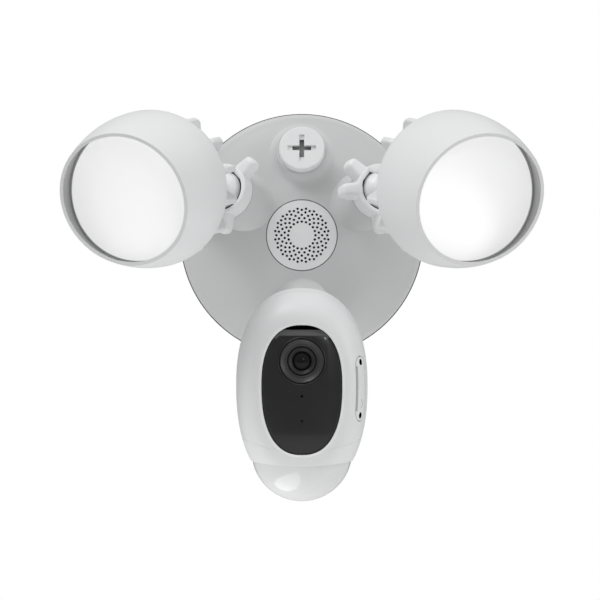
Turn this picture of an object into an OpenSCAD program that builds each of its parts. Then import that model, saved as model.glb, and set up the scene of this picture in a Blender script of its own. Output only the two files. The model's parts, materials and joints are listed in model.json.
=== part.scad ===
// Floodlight security camera: a round wall base with a siren, two round floodlights and an
// egg-shaped camera, each on a ball joint that a winged nut clamps.
// Frame: +Z up, +X to the viewer's right, wall plane at Y = 0, the object stands out along -Y.
// Inside the modules the work is done looking at the wall: x right, y up, z out of the wall.

/* [Base] */
// Diameter of the round base
base_d = 141; // [132:1:165]
// Depth of the base at its centre
base_h = 29; // [27:0.5:33]
// Depth at which the base's rounded edge starts
base_edge_h = 12.4; // [11:0.2:15]
// Wall of the base housing
base_wall = 2.6; // [2:0.1:3.2]
// Thickness of the foam gasket against the wall
gasket_t = 2.4; // [1.5:0.1:4]
// Width of the gasket ring
gasket_w = 6; // [4:0.5:8]

/* [Wall bracket] */
// Length of the bracket's slotted bar
bracket_l = 112; // [96:1:120]
// Width of the bracket's bars
bracket_w = 22; // [18:1:26]
// Thickness of the bracket's sheet
bracket_t = 1.8; // [1.2:0.1:2.2]
// Distance between the centres of the two slots
slot_gap = 83.3; // [70:0.1:89]
// Width of a slot
slot_w = 5; // [4.2:0.1:6]
// Length of a slot from end to end
slot_l = 16; // [10:1:20]
// Diameter of the mounting bolt
bolt_d = 5; // [4:0.5:6]

/* [Cap screw] */
// Diameter of the cap
cap_d = 26; // [22:0.5:28]
// How far the cap stands above its boss
cap_rise = 5.5; // [4:0.5:7]
// Distance of the cap's axis from the base's centre
cap_r = 47; // [44:0.5:49]
// Width of the cross slot's arms
cross_w = 3; // [2:0.1:4]
// Length of the cross slot from end to end
cross_l = 16.4; // [12:0.2:18]

/* [Siren] */
// Diameter of the siren's round insert
siren_d = 40.4; // [36:0.2:44]
// Diameter of one sound hole
siren_hole_d = 1.3; // [1:0.1:1.6]
// Radius of the innermost ring of holes
siren_ring_first = 7.9; // [7:0.1:9]
// Radius of the outermost ring of holes
siren_ring_last = 15.4; // [14:0.1:17]
// Number of rings of holes
siren_rings = 6; // [4:1:6]
// Holes in one ring
siren_holes = 20; // [16:1:20]

/* [Ball joints] */
// Radius of the ball
ball_r = 11.5; // [10:0.1:12]
// Radius of the neck next to the ball
neck_r = 5.5; // [4.5:0.1:6]
// Tilt of each arm away from the wall's normal
arm_tilt = 30; // [20:1:38]
// Distance of the lamp arms from the base's centre
lamp_arm_r = 42.2; // [40:0.2:45]
// Distance of the camera arm from the base's centre
camera_arm_r = 45; // [42:0.2:47]
// Height of a ball's centre above the foot of its arm
ball_h = 15.8; // [14:0.2:18]
// Outer radius of the lock nut
nut_r = 15.3; // [14.8:0.1:17]
// Length of the lock nut
nut_l = 9.8; // [8:0.1:11]
// How far a thumb wing stands out of the nut
wing_out = 7.6; // [5:0.2:9]

/* [Floodlights] */
// Radius of the lamp's rim
rim_r = 37.1; // [34:0.1:40]
// Largest radius of the lamp's barrel
barrel_r = 43.7; // [42:0.1:46]
// Distance from the rim back to the widest place
barrel_l = 43; // [40:0.5:48]
// Wall of the lamp housing
lamp_wall = 2; // [1.6:0.1:2.6]
// Angle of the slanted visor cut
visor_angle = 16; // [0:1:18]
// Distance from the ball to the rim along the lamp's axis
lamp_reach = 158.3; // [150:0.5:166]
// Outward turn of a lamp
lamp_yaw = 20; // [10:0.1:25]
// Downward turn of a lamp
lamp_pitch = 5.6; // [0:0.5:12]
// How far the lamp's axis passes above the ball
neck_rise = 10.9; // [0:0.5:12]
// Depth of the diffuser behind the rim's centre
lens_depth = 19; // [17:0.5:22]
// Thickness of the diffuser
lens_t = 2.4; // [1.6:0.1:3]
// Number of cooling fins
fin_n = 14; // [10:1:16]
// Thickness of a fin
fin_t = 3.6; // [2.4:0.1:4.2]
// Outer radius of the fins
fin_r = 41; // [34:0.5:41.5]

/* [Camera] */
// Width of the camera
cam_w = 73; // [66:0.5:80]
// Height of the camera's outline above its widest place
cam_up = 54; // [50:0.5:58]
// Height of the camera's full outline below its widest place
cam_down = 59.5; // [56:0.5:62]
// Height of the camera's widest place, from the base's centre
cam_y = -84.5; // [-90:0.5:-82]
// Distance of the camera's front from the wall
cam_front = 157; // [150:1:166]
// Depth of the front shell
front_shell_d = 25; // [22:1:28]
// Depth of the rear shell
rear_shell_d = 39; // [37:1:44]
// Wall of the camera shells
cam_wall = 2.2; // [1.8:0.1:2.6]
// Width of the black face
face_w = 44.4; // [40:0.2:47]
// Height of the face above the widest place
face_up = 33.3; // [30:0.2:36]
// Height of the face below the widest place
face_down = 38.1; // [35:0.2:40]
// Radius of the lens ring
lens_ring_r = 13.2; // [11:0.1:14]
// Height of the lens above the widest place
lens_y = 13.6; // [11:0.2:15]
// Radius of the motion sensor's dome
pir_r = 28; // [24:0.1:28]
// Distance from the widest place down to the dome's centre
pir_drop = 36.7; // [36:0.1:40]

/* [Hatch] */
// Length of the side hatch
hatch_l = 35.9; // [30:0.1:40]
// Width of the side hatch
hatch_w = 11; // [9:0.1:12]
// Radius of the reset button
button_r = 2.2; // [1.6:0.1:2.6]

/* [Hidden] */
$fn = 96;
// Gap between pieces that move past each other
gap = 0.1;
// Gap between pieces that are fitted together
fit = 0.15;
// A little more, so that a cut passes its face
more = 1;

shell_white = [0.86, 0.87, 0.88];
face_black = [0.12, 0.12, 0.13];
board_green = [0.10, 0.32, 0.18];
steel = [0.70, 0.71, 0.73];
dark = [0.10, 0.10, 0.11];

base_r = base_d / 2;
// Radius of the dome whose cap the base shows
dome_edge_r = base_r - 4;
dome_rise = base_h - base_edge_h;
dome_r = (dome_edge_r ^ 2 + dome_rise ^ 2) / (2 * dome_rise);
function dome_z(r) = base_h - dome_r + sqrt(dome_r ^ 2 - r ^ 2);
cap_lean = asin(cap_r / dome_r);

// Lock nut, socket and clamp ring, along an arm from its foot
thread_r = nut_r - 1.1;
nut_top = ball_h + 6;
nut_low = nut_top - nut_l;
lip_t = 2;
collar_out = nut_r - 0.3;
lip_r = ball_r + 1.1;
socket_low = -7;
flange_t = 2.4;
flange_r = thread_r + 3.4;
cable_r = 3;

// Angle of each arm round the base, counter-clockwise from +x
LEFT = 150.3;
RIGHT = 180 - LEFT;
DOWN = 270;
function arm_r(angle) = angle == DOWN ? camera_arm_r : lamp_arm_r;
// Centre of a ball, looking at the wall
function ball_at(angle) = let (r = arm_r(angle) + ball_h * sin(arm_tilt))
    [r * cos(angle), r * sin(angle), dome_z(arm_r(angle)) + ball_h * cos(arm_tilt)];

// Lamp, along its axis: z = 0 at the rim's centre, backwards is negative
fin_back = -112;
barrel_round = 11;
back_z = -barrel_l - barrel_round;
back_wall = 2.2;
plate_t = 3;
plate_z = back_z - plate_t;
lamp_screw_r = 30;
seal_t = 1.2;
led_n = 24;

// Camera
waist_z = cam_front - front_shell_d;
rear_z = waist_z - rear_shell_d;
cam_a = cam_w / 2;
rear_round = 19;
collar_drop = 36.5;
collar_rise = 7;
floor_drop = 44.5;
floor_rise = 2.5;
collar_r = (33 ^ 2 + collar_rise ^ 2) / (2 * collar_rise);
floor_r = (28 ^ 2 + floor_rise ^ 2) / (2 * floor_rise);
cut_gap = 0.2;
lip = 1.4;
face_t = 2;
face_sink = 1.6;
pir_z = (cam_front + rear_z) / 2 - 0.4;
pir_wall = 1.4;
dome_hidden = 4;
hatch_y = -86.2;
hatch_t = 3.8;
hatch_seat = 9.6;
button_travel = 1;
// The shells part where the shoulder's curve has turned this far from the waist
seam_turn = 26;
// The hatch lies on the shoulder where its curve has turned this far
hatch_turn = 43;
hatch_x = cam_a - (cam_a - face_w / 2 - lip) * (1 - cos(hatch_turn));
hatch_z = cam_front - front_shell_d * (1 - sin(hatch_turn));
hatch_lean = atan2(front_shell_d * cos(hatch_turn),
    (cam_a - face_w / 2 - lip) * sin(hatch_turn));
face_floor = 1.6;
face_back = cam_front - face_sink - face_t;
main_z = waist_z - 12;
board_post_x = [-18, 18];
board_post_y = [-20, 30];

module front() rotate([90, 0, 0]) children();

module arm(angle) {
    rotate([0, 0, angle]) translate([arm_r(angle), 0, dome_z(arm_r(angle))])
        rotate([0, arm_tilt, 0]) children();
}

// Along a lamp's axis, with the rim's centre at the origin
module lamp(side) {
    mirror([side > 0 ? 1 : 0, 0, 0]) translate(ball_at(LEFT))
        rotate([0, -lamp_yaw, 0]) rotate([lamp_pitch, 0, 0])
        translate([0, neck_rise, lamp_reach]) children();
}

module ring(r_out, r_in, h) {
    difference() {
        cylinder(r = r_out, h = h);
        translate([0, 0, -more]) cylinder(r = r_in, h = h + 2 * more);
    }
}

// ---- Base ----

// Half section of the base's solid shape, drawn in by a wall
module base_section(inset) {
    intersection() {
        translate([0, base_h - dome_r]) circle(r = dome_r - inset, $fn = 360);
        square([dome_edge_r - inset, base_h]);
    }
    square([base_r - inset, base_edge_h - 4]);
    intersection() {
        translate([dome_edge_r - inset, base_edge_h - 4.02]) circle(r = 4);
        square([base_r - inset, base_edge_h - inset]);
    }
    square([dome_edge_r - inset, base_edge_h - 0.2 - inset]);
}

module base_body(inset) rotate_extrude($fn = 180) base_section(inset);

module cap_place() {
    rotate([0, 0, 90]) translate([cap_r, 0, dome_z(cap_r)]) rotate([0, cap_lean, 0]) children();
}

module wall_gasket() front() color(dark) ring(base_r, base_r - gasket_w, gasket_t);

module mounting_bracket() front() color(steel) difference() {
    union() {
        translate([-bracket_l / 2, -bracket_w / 2, 0]) cube([bracket_l, bracket_w, bracket_t]);
        translate([-bracket_w / 2, -cap_r - 8, 0]) cube([bracket_w, 2 * cap_r + 16, bracket_t]);
        translate([0, cap_r, 0]) cylinder(r = bolt_d, h = bracket_t + 2.6);
    }
    for (side = [-1, 1]) translate([side * slot_gap / 2, 0, -more]) {
        for (end = [-1, 1]) translate([end * (slot_l - slot_w) / 2, 0, 0])
            cylinder(d = slot_w, h = bracket_t + 2 * more);
        translate([-(slot_l - slot_w) / 2, -slot_w / 2, 0])
            cube([slot_l - slot_w, slot_w, bracket_t + 2 * more]);
    }
    translate([0, cap_r, -more]) cylinder(d = bolt_d - 0.8, h = bracket_t + 2.6 + 2 * more);
}

module mounting_bolt() front() color(steel) translate([0, cap_r, 0]) difference() {
    union() {
        translate([0, 0, 0.4]) cylinder(d = bolt_d - 0.9, h = 11);
        translate([0, 0, 11]) cylinder(d = bolt_d * 1.9, h = 3);
    }
    translate([-bolt_d, -0.6, 12.6]) cube([2 * bolt_d, 1.2, 3]);
}

board_z = 6.6;
board_t = 1.6;
back_plate_z = gasket_t + fit;
back_plate_t = 1.8;
screw_ring_r = base_r - 9;
// Where the supply cable comes in, between the bracket's bars
wire_inlet = [-30, -25, 0];
wire_inlet_r = 8;

module back_plate() front() color(shell_white) translate([0, 0, back_plate_z]) difference() {
    union() {
        cylinder(r = base_r - base_wall - fit, h = back_plate_t);
        for (x = [-21, 21], y = [-14, 14]) translate([x, y, 0])
            cylinder(r = 2.8, h = board_z - back_plate_z - 0.02);
    }
    translate([0, 0, -more]) {
        translate(wire_inlet) cylinder(r = wire_inlet_r, h = back_plate_t + 2 * more);
        translate([0, cap_r, 0]) cylinder(r = bolt_d + fit, h = back_plate_t + 2 * more);
        for (k = [0:5]) rotate([0, 0, 60 * k]) translate([screw_ring_r, 0, 0])
            cylinder(r = 1.6, h = back_plate_t + 2 * more);
    }
}

module pan_screw(shank_r, head_r, length) {
    difference() {
        union() {
            translate([0, 0, -0.6]) cylinder(r = shank_r, h = length + 0.6);
            translate([0, 0, -1.4]) cylinder(r = head_r, h = 1.4);
        }
        translate([-head_r, -0.35, -2.4]) cube([2 * head_r, 0.7, 1.6]);
        translate([-0.35, -head_r, -2.4]) cube([0.7, 2 * head_r, 1.6]);
    }
}

module back_plate_screws() front() color(steel) for (k = [0:5])
    rotate([0, 0, 60 * k]) translate([screw_ring_r, 0, back_plate_z])
        pan_screw(1.25, 2.4, 7);

cap_boss_h = 4.2;
cap_well_r = cap_d / 2 - 2.4;

module base_housing() front() color(shell_white) difference() {
    union() {
        difference() {
            translate([0, 0, gasket_t + 0.01]) intersection() {
                translate([0, 0, -gasket_t]) base_body(0);
                cylinder(r = base_r + more, h = base_h);
            }
            base_body(base_wall);
        }
        // Flared feet of the three arms, and the seats inside them
        for (a = [LEFT, RIGHT, DOWN]) arm(a) {
            translate([0, 0, -3]) cylinder(r1 = 20.2, r2 = 16.6, h = 5.4);
            translate([0, 0, 2.39]) cylinder(r1 = 16.6, r2 = collar_out, h = 2.6);
            translate([0, 0, 4.9]) cylinder(r = collar_out, h = nut_low - 5.5);
            translate([0, 0, socket_low + flange_t + fit]) cylinder(r = flange_r, h = 5);
        }
        // Collar that holds the siren
        translate([0, 0, base_h - 11]) cylinder(r = siren_d / 2 + 2.2, h = 7);
        // Boss of the cap screw
        cap_place() translate([0, 0, -4]) cylinder(r1 = 18.4, r2 = cap_d / 2 + 1.6, h = cap_boss_h + 4);
        // Pillars for the back plate's screws
        intersection() {
            base_body(0.5);
            for (k = [0:5]) rotate([0, 0, 60 * k])
                translate([screw_ring_r, 0, back_plate_z + back_plate_t + fit]) cylinder(r = 3.6, h = 20);
        }
    }
    for (a = [LEFT, RIGHT, DOWN]) arm(a) {
        translate([0, 0, -30]) cylinder(r = flange_r + fit, h = 30 + socket_low + flange_t + fit);
        translate([0, 0, -10]) cylinder(r = thread_r + fit, h = 30);
        for (k = [0:2]) rotate([0, 0, 120 * k + 60]) translate([flange_r - 2, 0, -20])
            cylinder(r = 0.95, h = 20);
    }
    cap_place() {
        translate([0, 0, cap_boss_h - 3]) cylinder(r = cap_d / 2 + gap, h = 12);
        translate([0, 0, -3.4]) cylinder(r = cap_well_r + gap, h = 12);
    }
    translate([0, cap_r, 0]) cylinder(r = bolt_d / 2 + 0.5, h = 40);
    translate([0, 0, base_h - 5.05]) cylinder(r = siren_d / 2 + fit, h = 8);
    cylinder(r = siren_d / 2 - 2 + fit, h = base_h);
    for (k = [0:5]) rotate([0, 0, 60 * k]) translate([screw_ring_r, 0, 0]) cylinder(r = 1.35, h = 12);
}

module cap_screw() front() color(shell_white) cap_place() difference() {
    union() {
        translate([0, 0, cap_boss_h - 2.8]) cylinder(d = cap_d, h = cap_rise + 2.8 - 1);
        translate([0, 0, cap_boss_h + cap_rise - 1.01]) cylinder(d1 = cap_d, d2 = cap_d - 1.6, h = 1.01);
        translate([0, 0, 0.2]) cylinder(r = cap_well_r, h = cap_boss_h);
    }
    translate([0, 0, cap_boss_h + cap_rise]) for (turn = [0, 90]) rotate([0, 0, turn]) {
        translate([-cross_l / 2, -cross_w / 2, -1.8]) cube([cross_l, cross_w, 3]);
        translate([-cross_l / 2 + 3, -cross_w / 2, -4]) cube([cross_l - 6, cross_w, 5]);
    }
    translate([0, 0, -1]) cylinder(r = cap_well_r - 2, h = 4);
}

module siren_grille() front() color(shell_white) difference() {
    intersection() {
        translate([0, 0, base_h - 5]) cylinder(d = siren_d, h = 8);
        difference() {
            translate([0, 0, base_h - dome_r]) sphere(r = dome_r - 0.2, $fn = 120);
            translate([0, 0, base_h - dome_r]) sphere(r = dome_r - 2.4, $fn = 120);
        }
    }
    for (k = [0 : siren_rings - 1], h = [0 : siren_holes - 1])
        rotate([0, 0, (h + (k % 2) / 2) * 360 / siren_holes])
        translate([siren_ring_r(k), 0, 0]) cylinder(d = siren_hole_d, h = base_h + 4, $fn = 16);
}

// The rings of holes draw together towards the outside
function siren_ring_r(k) = siren_ring_first
    + (siren_ring_last - siren_ring_first) * sin(90 * k / (siren_rings - 1)) ^ 0.86;

module siren_speaker() front() color(dark) difference() {
    union() {
        translate([0, 0, base_h - 9]) cylinder(d = siren_d - 4, h = 5);
        translate([0, 0, base_h - 16]) cylinder(d = siren_d - 14, h = 7.01);
    }
    translate([0, 0, base_h - 7]) cylinder(d1 = siren_d - 22, d2 = siren_d - 8, h = 4);
}

module power_board() front() color(board_green) translate([-24, -17, board_z]) difference() {
    cube([48, 34, board_t]);
    for (x = [3, 45], y = [3, 31]) translate([x, y, -more]) cylinder(r = 1.6, h = board_t + 2 * more);
}

module power_parts() front() color([0.25, 0.25, 0.28]) translate([0, 0, board_z + board_t]) {
    translate([-20, -10, 0.02]) cube([12, 10, 4]);
    translate([14, -10, 0.02]) cylinder(r = 4, h = 4.4);
    translate([14, 6, 0.02]) cylinder(r = 4, h = 4.4);
    translate([-20, 3, 0.02]) cube([9, 7, 3.6]);
}

module terminal_block() front() color(dark) translate([-30, -44, back_plate_z + back_plate_t + 0.05])
    difference() {
        cube([20, 9, 8]);
        for (k = [0:2]) {
            translate([4 + 6 * k, 4.5, 3]) cylinder(r = 1.6, h = 6);
            translate([4 + 6 * k, -more, 2.6]) rotate([-90, 0, 0]) cylinder(r = 1.3, h = 4);
        }
    }

module socket_screws() front() color(steel) for (a = [LEFT, RIGHT, DOWN]) arm(a)
    for (k = [0:2]) rotate([0, 0, 120 * k + 60])
        translate([flange_r - 2, 0, socket_low]) pan_screw(0.9, 1.7, 5);

// ---- Ball joint pieces, each along its arm ----

module socket() color(shell_white) difference() {
    union() {
        translate([0, 0, socket_low + 0.02]) cylinder(r = flange_r, h = flange_t);
        translate([0, 0, socket_low + 0.5]) cylinder(r = thread_r, h = ball_h - socket_low - 0.5);
    }
    translate([0, 0, ball_h]) sphere(r = ball_r + gap);
    translate([0, 0, socket_low - more]) cylinder(r = cable_r + 3, h = 12);
    for (k = [0:2]) rotate([0, 0, 120 * k + 60]) translate([flange_r - 2, 0, socket_low - more])
        cylinder(r = 1.05, h = flange_t + 2 * more);
}

module clamp_ring() color(dark) difference() {
    translate([0, 0, ball_h + gap]) cylinder(r = thread_r - 0.1, h = nut_top - lip_t - ball_h - 3 * gap);
    translate([0, 0, ball_h]) sphere(r = ball_r + gap);
}

module lock_nut(wings) color(shell_white) difference() {
    union() {
        translate([0, 0, nut_low]) cylinder(r = nut_r, h = nut_l - 0.8);
        translate([0, 0, nut_top - 0.81]) cylinder(r1 = nut_r, r2 = nut_r - 0.8, h = 0.81);
        for (w = wings) rotate([0, 0, w]) intersection() {
            translate([nut_r - 1.5, 0, nut_low + 0.6]) cylinder(r = wing_out + 1.5, h = nut_l - 1.8);
            translate([0, -2.3, nut_low]) cube([nut_r + wing_out + more, 4.6, nut_l]);
        }
    }
    translate([0, 0, nut_low - more]) cylinder(r = thread_r + gap, h = nut_l - lip_t + more);
    translate([0, 0, nut_low - more]) cylinder(r = lip_r, h = nut_l + 2 * more);
}

module left_socket() front() arm(LEFT) socket();
module right_socket() front() arm(RIGHT) socket();
module camera_socket() front() arm(DOWN) socket();
module left_clamp_ring() front() arm(LEFT) clamp_ring();
module right_clamp_ring() front() arm(RIGHT) clamp_ring();
module camera_clamp_ring() front() arm(DOWN) clamp_ring();

// The four wings stand at uneven steps round the nut
wing_steps = [0, 44, 132, 264];
left_turn = -10;
right_turn = 110;
down_turn = 40;
module left_lock_nut() front() arm(LEFT) lock_nut([for (w = wing_steps) w + left_turn]);
module right_lock_nut() front() arm(RIGHT) lock_nut([for (w = wing_steps) w + right_turn]);
module camera_lock_nut() front() arm(DOWN) lock_nut([for (w = wing_steps) w + down_turn]);

// ---- Floodlights ----

// The flare starts ahead of the rim, so that the slanted cut has something to cut
nose_l = 12;
rim_share = sin(90 * nose_l / (nose_l + barrel_l));
nose_r = (rim_r - rim_share * barrel_r) / (1 - rim_share);

// Half section of the lamp's housing from the rim back, drawn in by a wall
module lamp_section(inset) {
    steps = 8;
    flare = [for (k = [0:steps]) let (t = k / steps)
        [nose_r + (barrel_r - nose_r) * sin(90 * t) - inset, nose_l - (barrel_l + nose_l) * t]];
    round_back = [for (k = [1:5]) let (t = 90 * k / 5)
        [barrel_r - barrel_round * 0.75 * (1 - cos(t)) - inset, -barrel_l - barrel_round * sin(t)]];
    polygon(concat([[0, nose_l]], flare, round_back, [[0, back_z]]));
}

module visor_cut() rotate([visor_angle, 0, 0]) translate([-60, -60, 0]) cube([120, 120, 60]);

seat_z = -lens_depth - lens_t - seal_t;
lens_r = barrel_r - lamp_wall - 3.6;

module lamp_housing() color(shell_white) difference() {
    rotate_extrude($fn = 120) lamp_section(0);
    rotate_extrude($fn = 120) difference() {
        lamp_section(lamp_wall);
        translate([0, back_z - more]) square([barrel_r, more + back_wall]);
        // Inner shoulder that the seal and the diffuser rest on
        translate([lens_r - 2.2, seat_z - 3]) square([barrel_r, 3]);
    }
    visor_cut();
    translate([0, 0, back_z - more]) cylinder(r = 26, h = 6);
    for (k = [0:3]) rotate([0, 0, 45 + 90 * k]) translate([lamp_screw_r, 0, back_z - more])
        cylinder(r = 1.3, h = back_wall + 2 * more);
}

module lamp_lens() color([0.97, 0.97, 0.98]) translate([0, 0, -lens_depth - lens_t])
    cylinder(r = lens_r, h = lens_t);

module lens_seal() color(dark) translate([0, 0, seat_z + 0.02]) ring(lens_r - 0.2, lens_r - 2.1, seal_t - 0.04);

reflector_back = -barrel_l - 3.2;
module reflector() color([0.92, 0.93, 0.94]) translate([0, 0, reflector_back + 0.1]) difference() {
    cylinder(r1 = 28.5, r2 = lens_r - 2.4, h = seat_z - reflector_back - 0.1);
    translate([0, 0, -0.01])
        cylinder(r1 = 27, r2 = lens_r - 3.9, h = seat_z - reflector_back);
}

module led_board() color(shell_white) translate([0, 0, reflector_back - 1.7]) ring(30, 3, 1.6);

module led_chips() color([0.95, 0.86, 0.45]) translate([0, 0, reflector_back - 0.08])
    for (k = [0 : led_n - 1]) let (inner = k < led_n / 3, m = inner ? led_n / 3 : led_n * 2 / 3)
        rotate([0, 0, k * 360 / m]) translate([inner ? 10 : 20, -1.4, 0]) cube([2.8, 2.8, 0.8]);

fin_front = back_z - 0.8;
// Half section of one fin: full at the front, sloping in towards the neck
fin_shape = [
    [8, fin_front], [fin_r - 1.5, fin_front], [fin_r, fin_front - 1.5], [fin_r, fin_front - 15],
    [fin_r - 2, fin_front - 20], [30, fin_front - 31], [14, fin_back + 1.5], [8, fin_back]
];

module heat_sink() color(shell_white) difference() {
    union() {
        translate([0, 0, plate_z]) cylinder(r = 33, h = plate_t - 0.02);
        translate([0, 0, plate_z + 1]) cylinder(r = 25.8, h = reflector_back - 1.72 - plate_z - 1);
        translate([0, 0, fin_back]) cylinder(r1 = 10, r2 = 21, h = plate_z + 1 - fin_back);
        intersection() {
            for (k = [0 : fin_n - 1]) rotate([0, 0, 90 + k * 360 / fin_n])
                rotate([90, 0, 0]) translate([0, 0, -fin_t / 2]) linear_extrude(fin_t) polygon(fin_shape);
            translate([0, 0, fin_back - more]) cylinder(r = fin_r, h = 60);
        }
    }
    translate([0, 0, fin_back - more]) cylinder(r = cable_r + 1.6, h = 80);
    for (k = [0:3]) rotate([0, 0, 45 + 90 * k]) translate([lamp_screw_r, 0, -130]) {
        cylinder(r = 1.5, h = 90);
        cylinder(r = 3.4, h = 130 + plate_z);
    }
}

module lamp_screws() color(steel) for (k = [0:3]) rotate([0, 0, 45 + 90 * k])
    translate([lamp_screw_r, 0, plate_z - 0.02]) pan_screw(1.2, 2.6, plate_t + back_wall);

// The neck runs from the ball to the back of the heat sink
neck_run = lamp_reach + fin_back;
neck_len = sqrt(neck_run ^ 2 + neck_rise ^ 2);
neck_lean = atan(neck_rise / neck_run);
module lamp_neck() color(shell_white) translate([0, -neck_rise, -lamp_reach]) difference() {
    union() {
        sphere(r = ball_r);
        rotate([-neck_lean, 0, 0]) {
            cylinder(r = neck_r, h = neck_len - 3);
            translate([0, 0, 19]) cylinder(r1 = neck_r, r2 = 8.4, h = neck_len - 21);
        }
        translate([0, neck_rise, neck_run - 3.6]) cylinder(r = 10, h = 3.58);
    }
    rotate([-neck_lean, 0, 0]) translate([0, 0, -ball_r - more])
        cylinder(r = cable_r, h = neck_len + ball_r);
    translate([0, 0, -ball_r - more]) cylinder(r = cable_r + 1, h = 6);
}

module left_lamp_neck() front() lamp(-1) lamp_neck();
module left_heat_sink() front() lamp(-1) heat_sink();
module left_lamp_housing() front() lamp(-1) lamp_housing();
module left_lamp_lens() front() lamp(-1) lamp_lens();
module left_lens_seal() front() lamp(-1) lens_seal();
module left_reflector() front() lamp(-1) reflector();
module left_led_board() front() lamp(-1) led_board();
module left_led_chips() front() lamp(-1) led_chips();
module left_lamp_screws() front() lamp(-1) lamp_screws();
module right_lamp_neck() front() lamp(1) lamp_neck();
module right_heat_sink() front() lamp(1) heat_sink();
module right_lamp_housing() front() lamp(1) lamp_housing();
module right_lamp_lens() front() lamp(1) lamp_lens();
module right_lens_seal() front() lamp(1) lens_seal();
module right_reflector() front() lamp(1) reflector();
module right_led_board() front() lamp(1) led_board();
module right_led_chips() front() lamp(1) led_chips();
module right_lamp_screws() front() lamp(1) lamp_screws();

// ---- Camera ----

// A point of an egg outline: half-width a, heights up and down, squareness n
function egg_point(t, n, a, up, down) = [
    a * sign(cos(t)) * abs(cos(t)) ^ (2 / n),
    (sin(t) >= 0 ? up : down) * sign(sin(t)) * abs(sin(t)) ^ (2 / n)
];
function egg(n, a, up, down, count) = [for (k = [0 : count - 1])
    egg_point(360 * k / count, n, a, up, down)];

// The outline part of the way from the camera's edge to its face, drawn in by a wall
function body_outline(part, inset, count) = egg(2.3 + 0.1 * part,
    cam_a + (face_w / 2 + lip - cam_a) * part - inset,
    cam_up + (face_up + lip - cam_up) * part - inset,
    cam_down + (face_down + lip - cam_down) * part - inset, count);
function rear_outline(phi, inset, count) = let (e = rear_round * (1 - cos(phi)) + inset)
    egg(2.3, cam_a - e, cam_up - e, cam_down - e, count);

// A closed skin through rings of points, from the lowest ring to the highest
module skin(rings, heights) {
    n = len(rings[0]);
    last = len(rings) - 1;
    polyhedron(
        points = [for (k = [0:last], p = rings[k]) [p[0], p[1], heights[k]]],
        faces = concat(
            [[for (i = [0 : n - 1]) i]],
            [for (k = [0 : last - 1], i = [0 : n - 1]) [k * n + i, (k + 1) * n + i,
                (k + 1) * n + (i + 1) % n, k * n + (i + 1) % n]],
            [[for (i = [n - 1 : -1 : 0]) last * n + i]]
        ),
        convexity = 4
    );
}

count = 56;
bends = 6;
// Height of the shoulder above the waist at one turn of its curve
function shoulder_z(turn, short = 0) = waist_z + (front_shell_d - short) * sin(turn);
function front_turn(k) = seam_turn + (90 - seam_turn) * k / bends;
module front_form(inset, short = 0) translate([0, cam_y, 0]) skin(
    [for (k = [0:bends]) body_outline(1 - cos(front_turn(k)), inset, count)],
    [for (k = [0:bends]) shoulder_z(front_turn(k), k * short / bends)]);
rim_bends = 3;
module rear_form(inset) translate([0, cam_y, 0]) skin(
    concat([for (k = [bends:-1:0]) rear_outline(90 * k / bends, inset, count)],
        [for (k = [1:rim_bends]) body_outline(1 - cos(seam_turn * k / rim_bends), inset, count)]),
    concat([for (k = [bends:-1:0]) waist_z - (rear_shell_d - inset) * sin(90 * k / bends)],
        [for (k = [1:rim_bends]) shoulder_z(seam_turn * k / rim_bends)]));

// Both shells' outer form in one skin
module whole_form() translate([0, cam_y, 0]) skin(
    concat([for (k = [bends:-1:0]) rear_outline(90 * k / bends, 0, count)],
        [for (k = [1:bends]) body_outline(1 - cos(90 * k / bends), 0, count)]),
    concat([for (k = [bends:-1:0]) waist_z - rear_shell_d * sin(90 * k / bends)],
        [for (k = [1:bends]) shoulder_z(90 * k / bends)]));

// Everything above the curved seam of the sensor collar
module above_collar(shift) translate([0, cam_y - collar_drop + collar_r, rear_z - more])
    cylinder(r = collar_r + shift, h = rear_shell_d + front_shell_d + 2 * more, $fn = 240);
module above_floor() translate([0, cam_y - floor_drop + floor_r, rear_z - more])
    cylinder(r = floor_r, h = rear_shell_d + front_shell_d + 2 * more, $fn = 360);

// Round seat of the motion sensor's dome
module dome_seat() translate([0, cam_y - pir_drop, pir_z]) rotate([90, 0, 0])
    rotate_extrude($fn = 180) intersection() {
        circle(r = pir_r + fit);
        translate([0, -dome_hidden - 2]) square([2 * pir_r, 3 * pir_r]);
    }

module face_prism(grow, z, h) translate([0, cam_y, z]) linear_extrude(h)
    polygon(egg(2.4, face_w / 2 + grow, face_up + grow, face_down + grow, 64));

// Frame of the side hatch: z points out of the shell's side
module hatch_place() translate([hatch_x, hatch_y, hatch_z]) rotate([0, hatch_lean, 0]) children();
module hatch_outline(grow, h) {
    run = hatch_l / 2 - hatch_w / 2;
    for (end = [-1, 1]) translate([0, end * run, 0]) cylinder(r = hatch_w / 2 + grow, h = h);
    translate([-hatch_w / 2 - grow, -run, 0]) cube([hatch_w + 2 * grow, 2 * run, h]);
}
hatch_screw_y = [-hatch_l / 2 + 3.2, hatch_l / 2 - 3.2];
button_y = -8.2;

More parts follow.
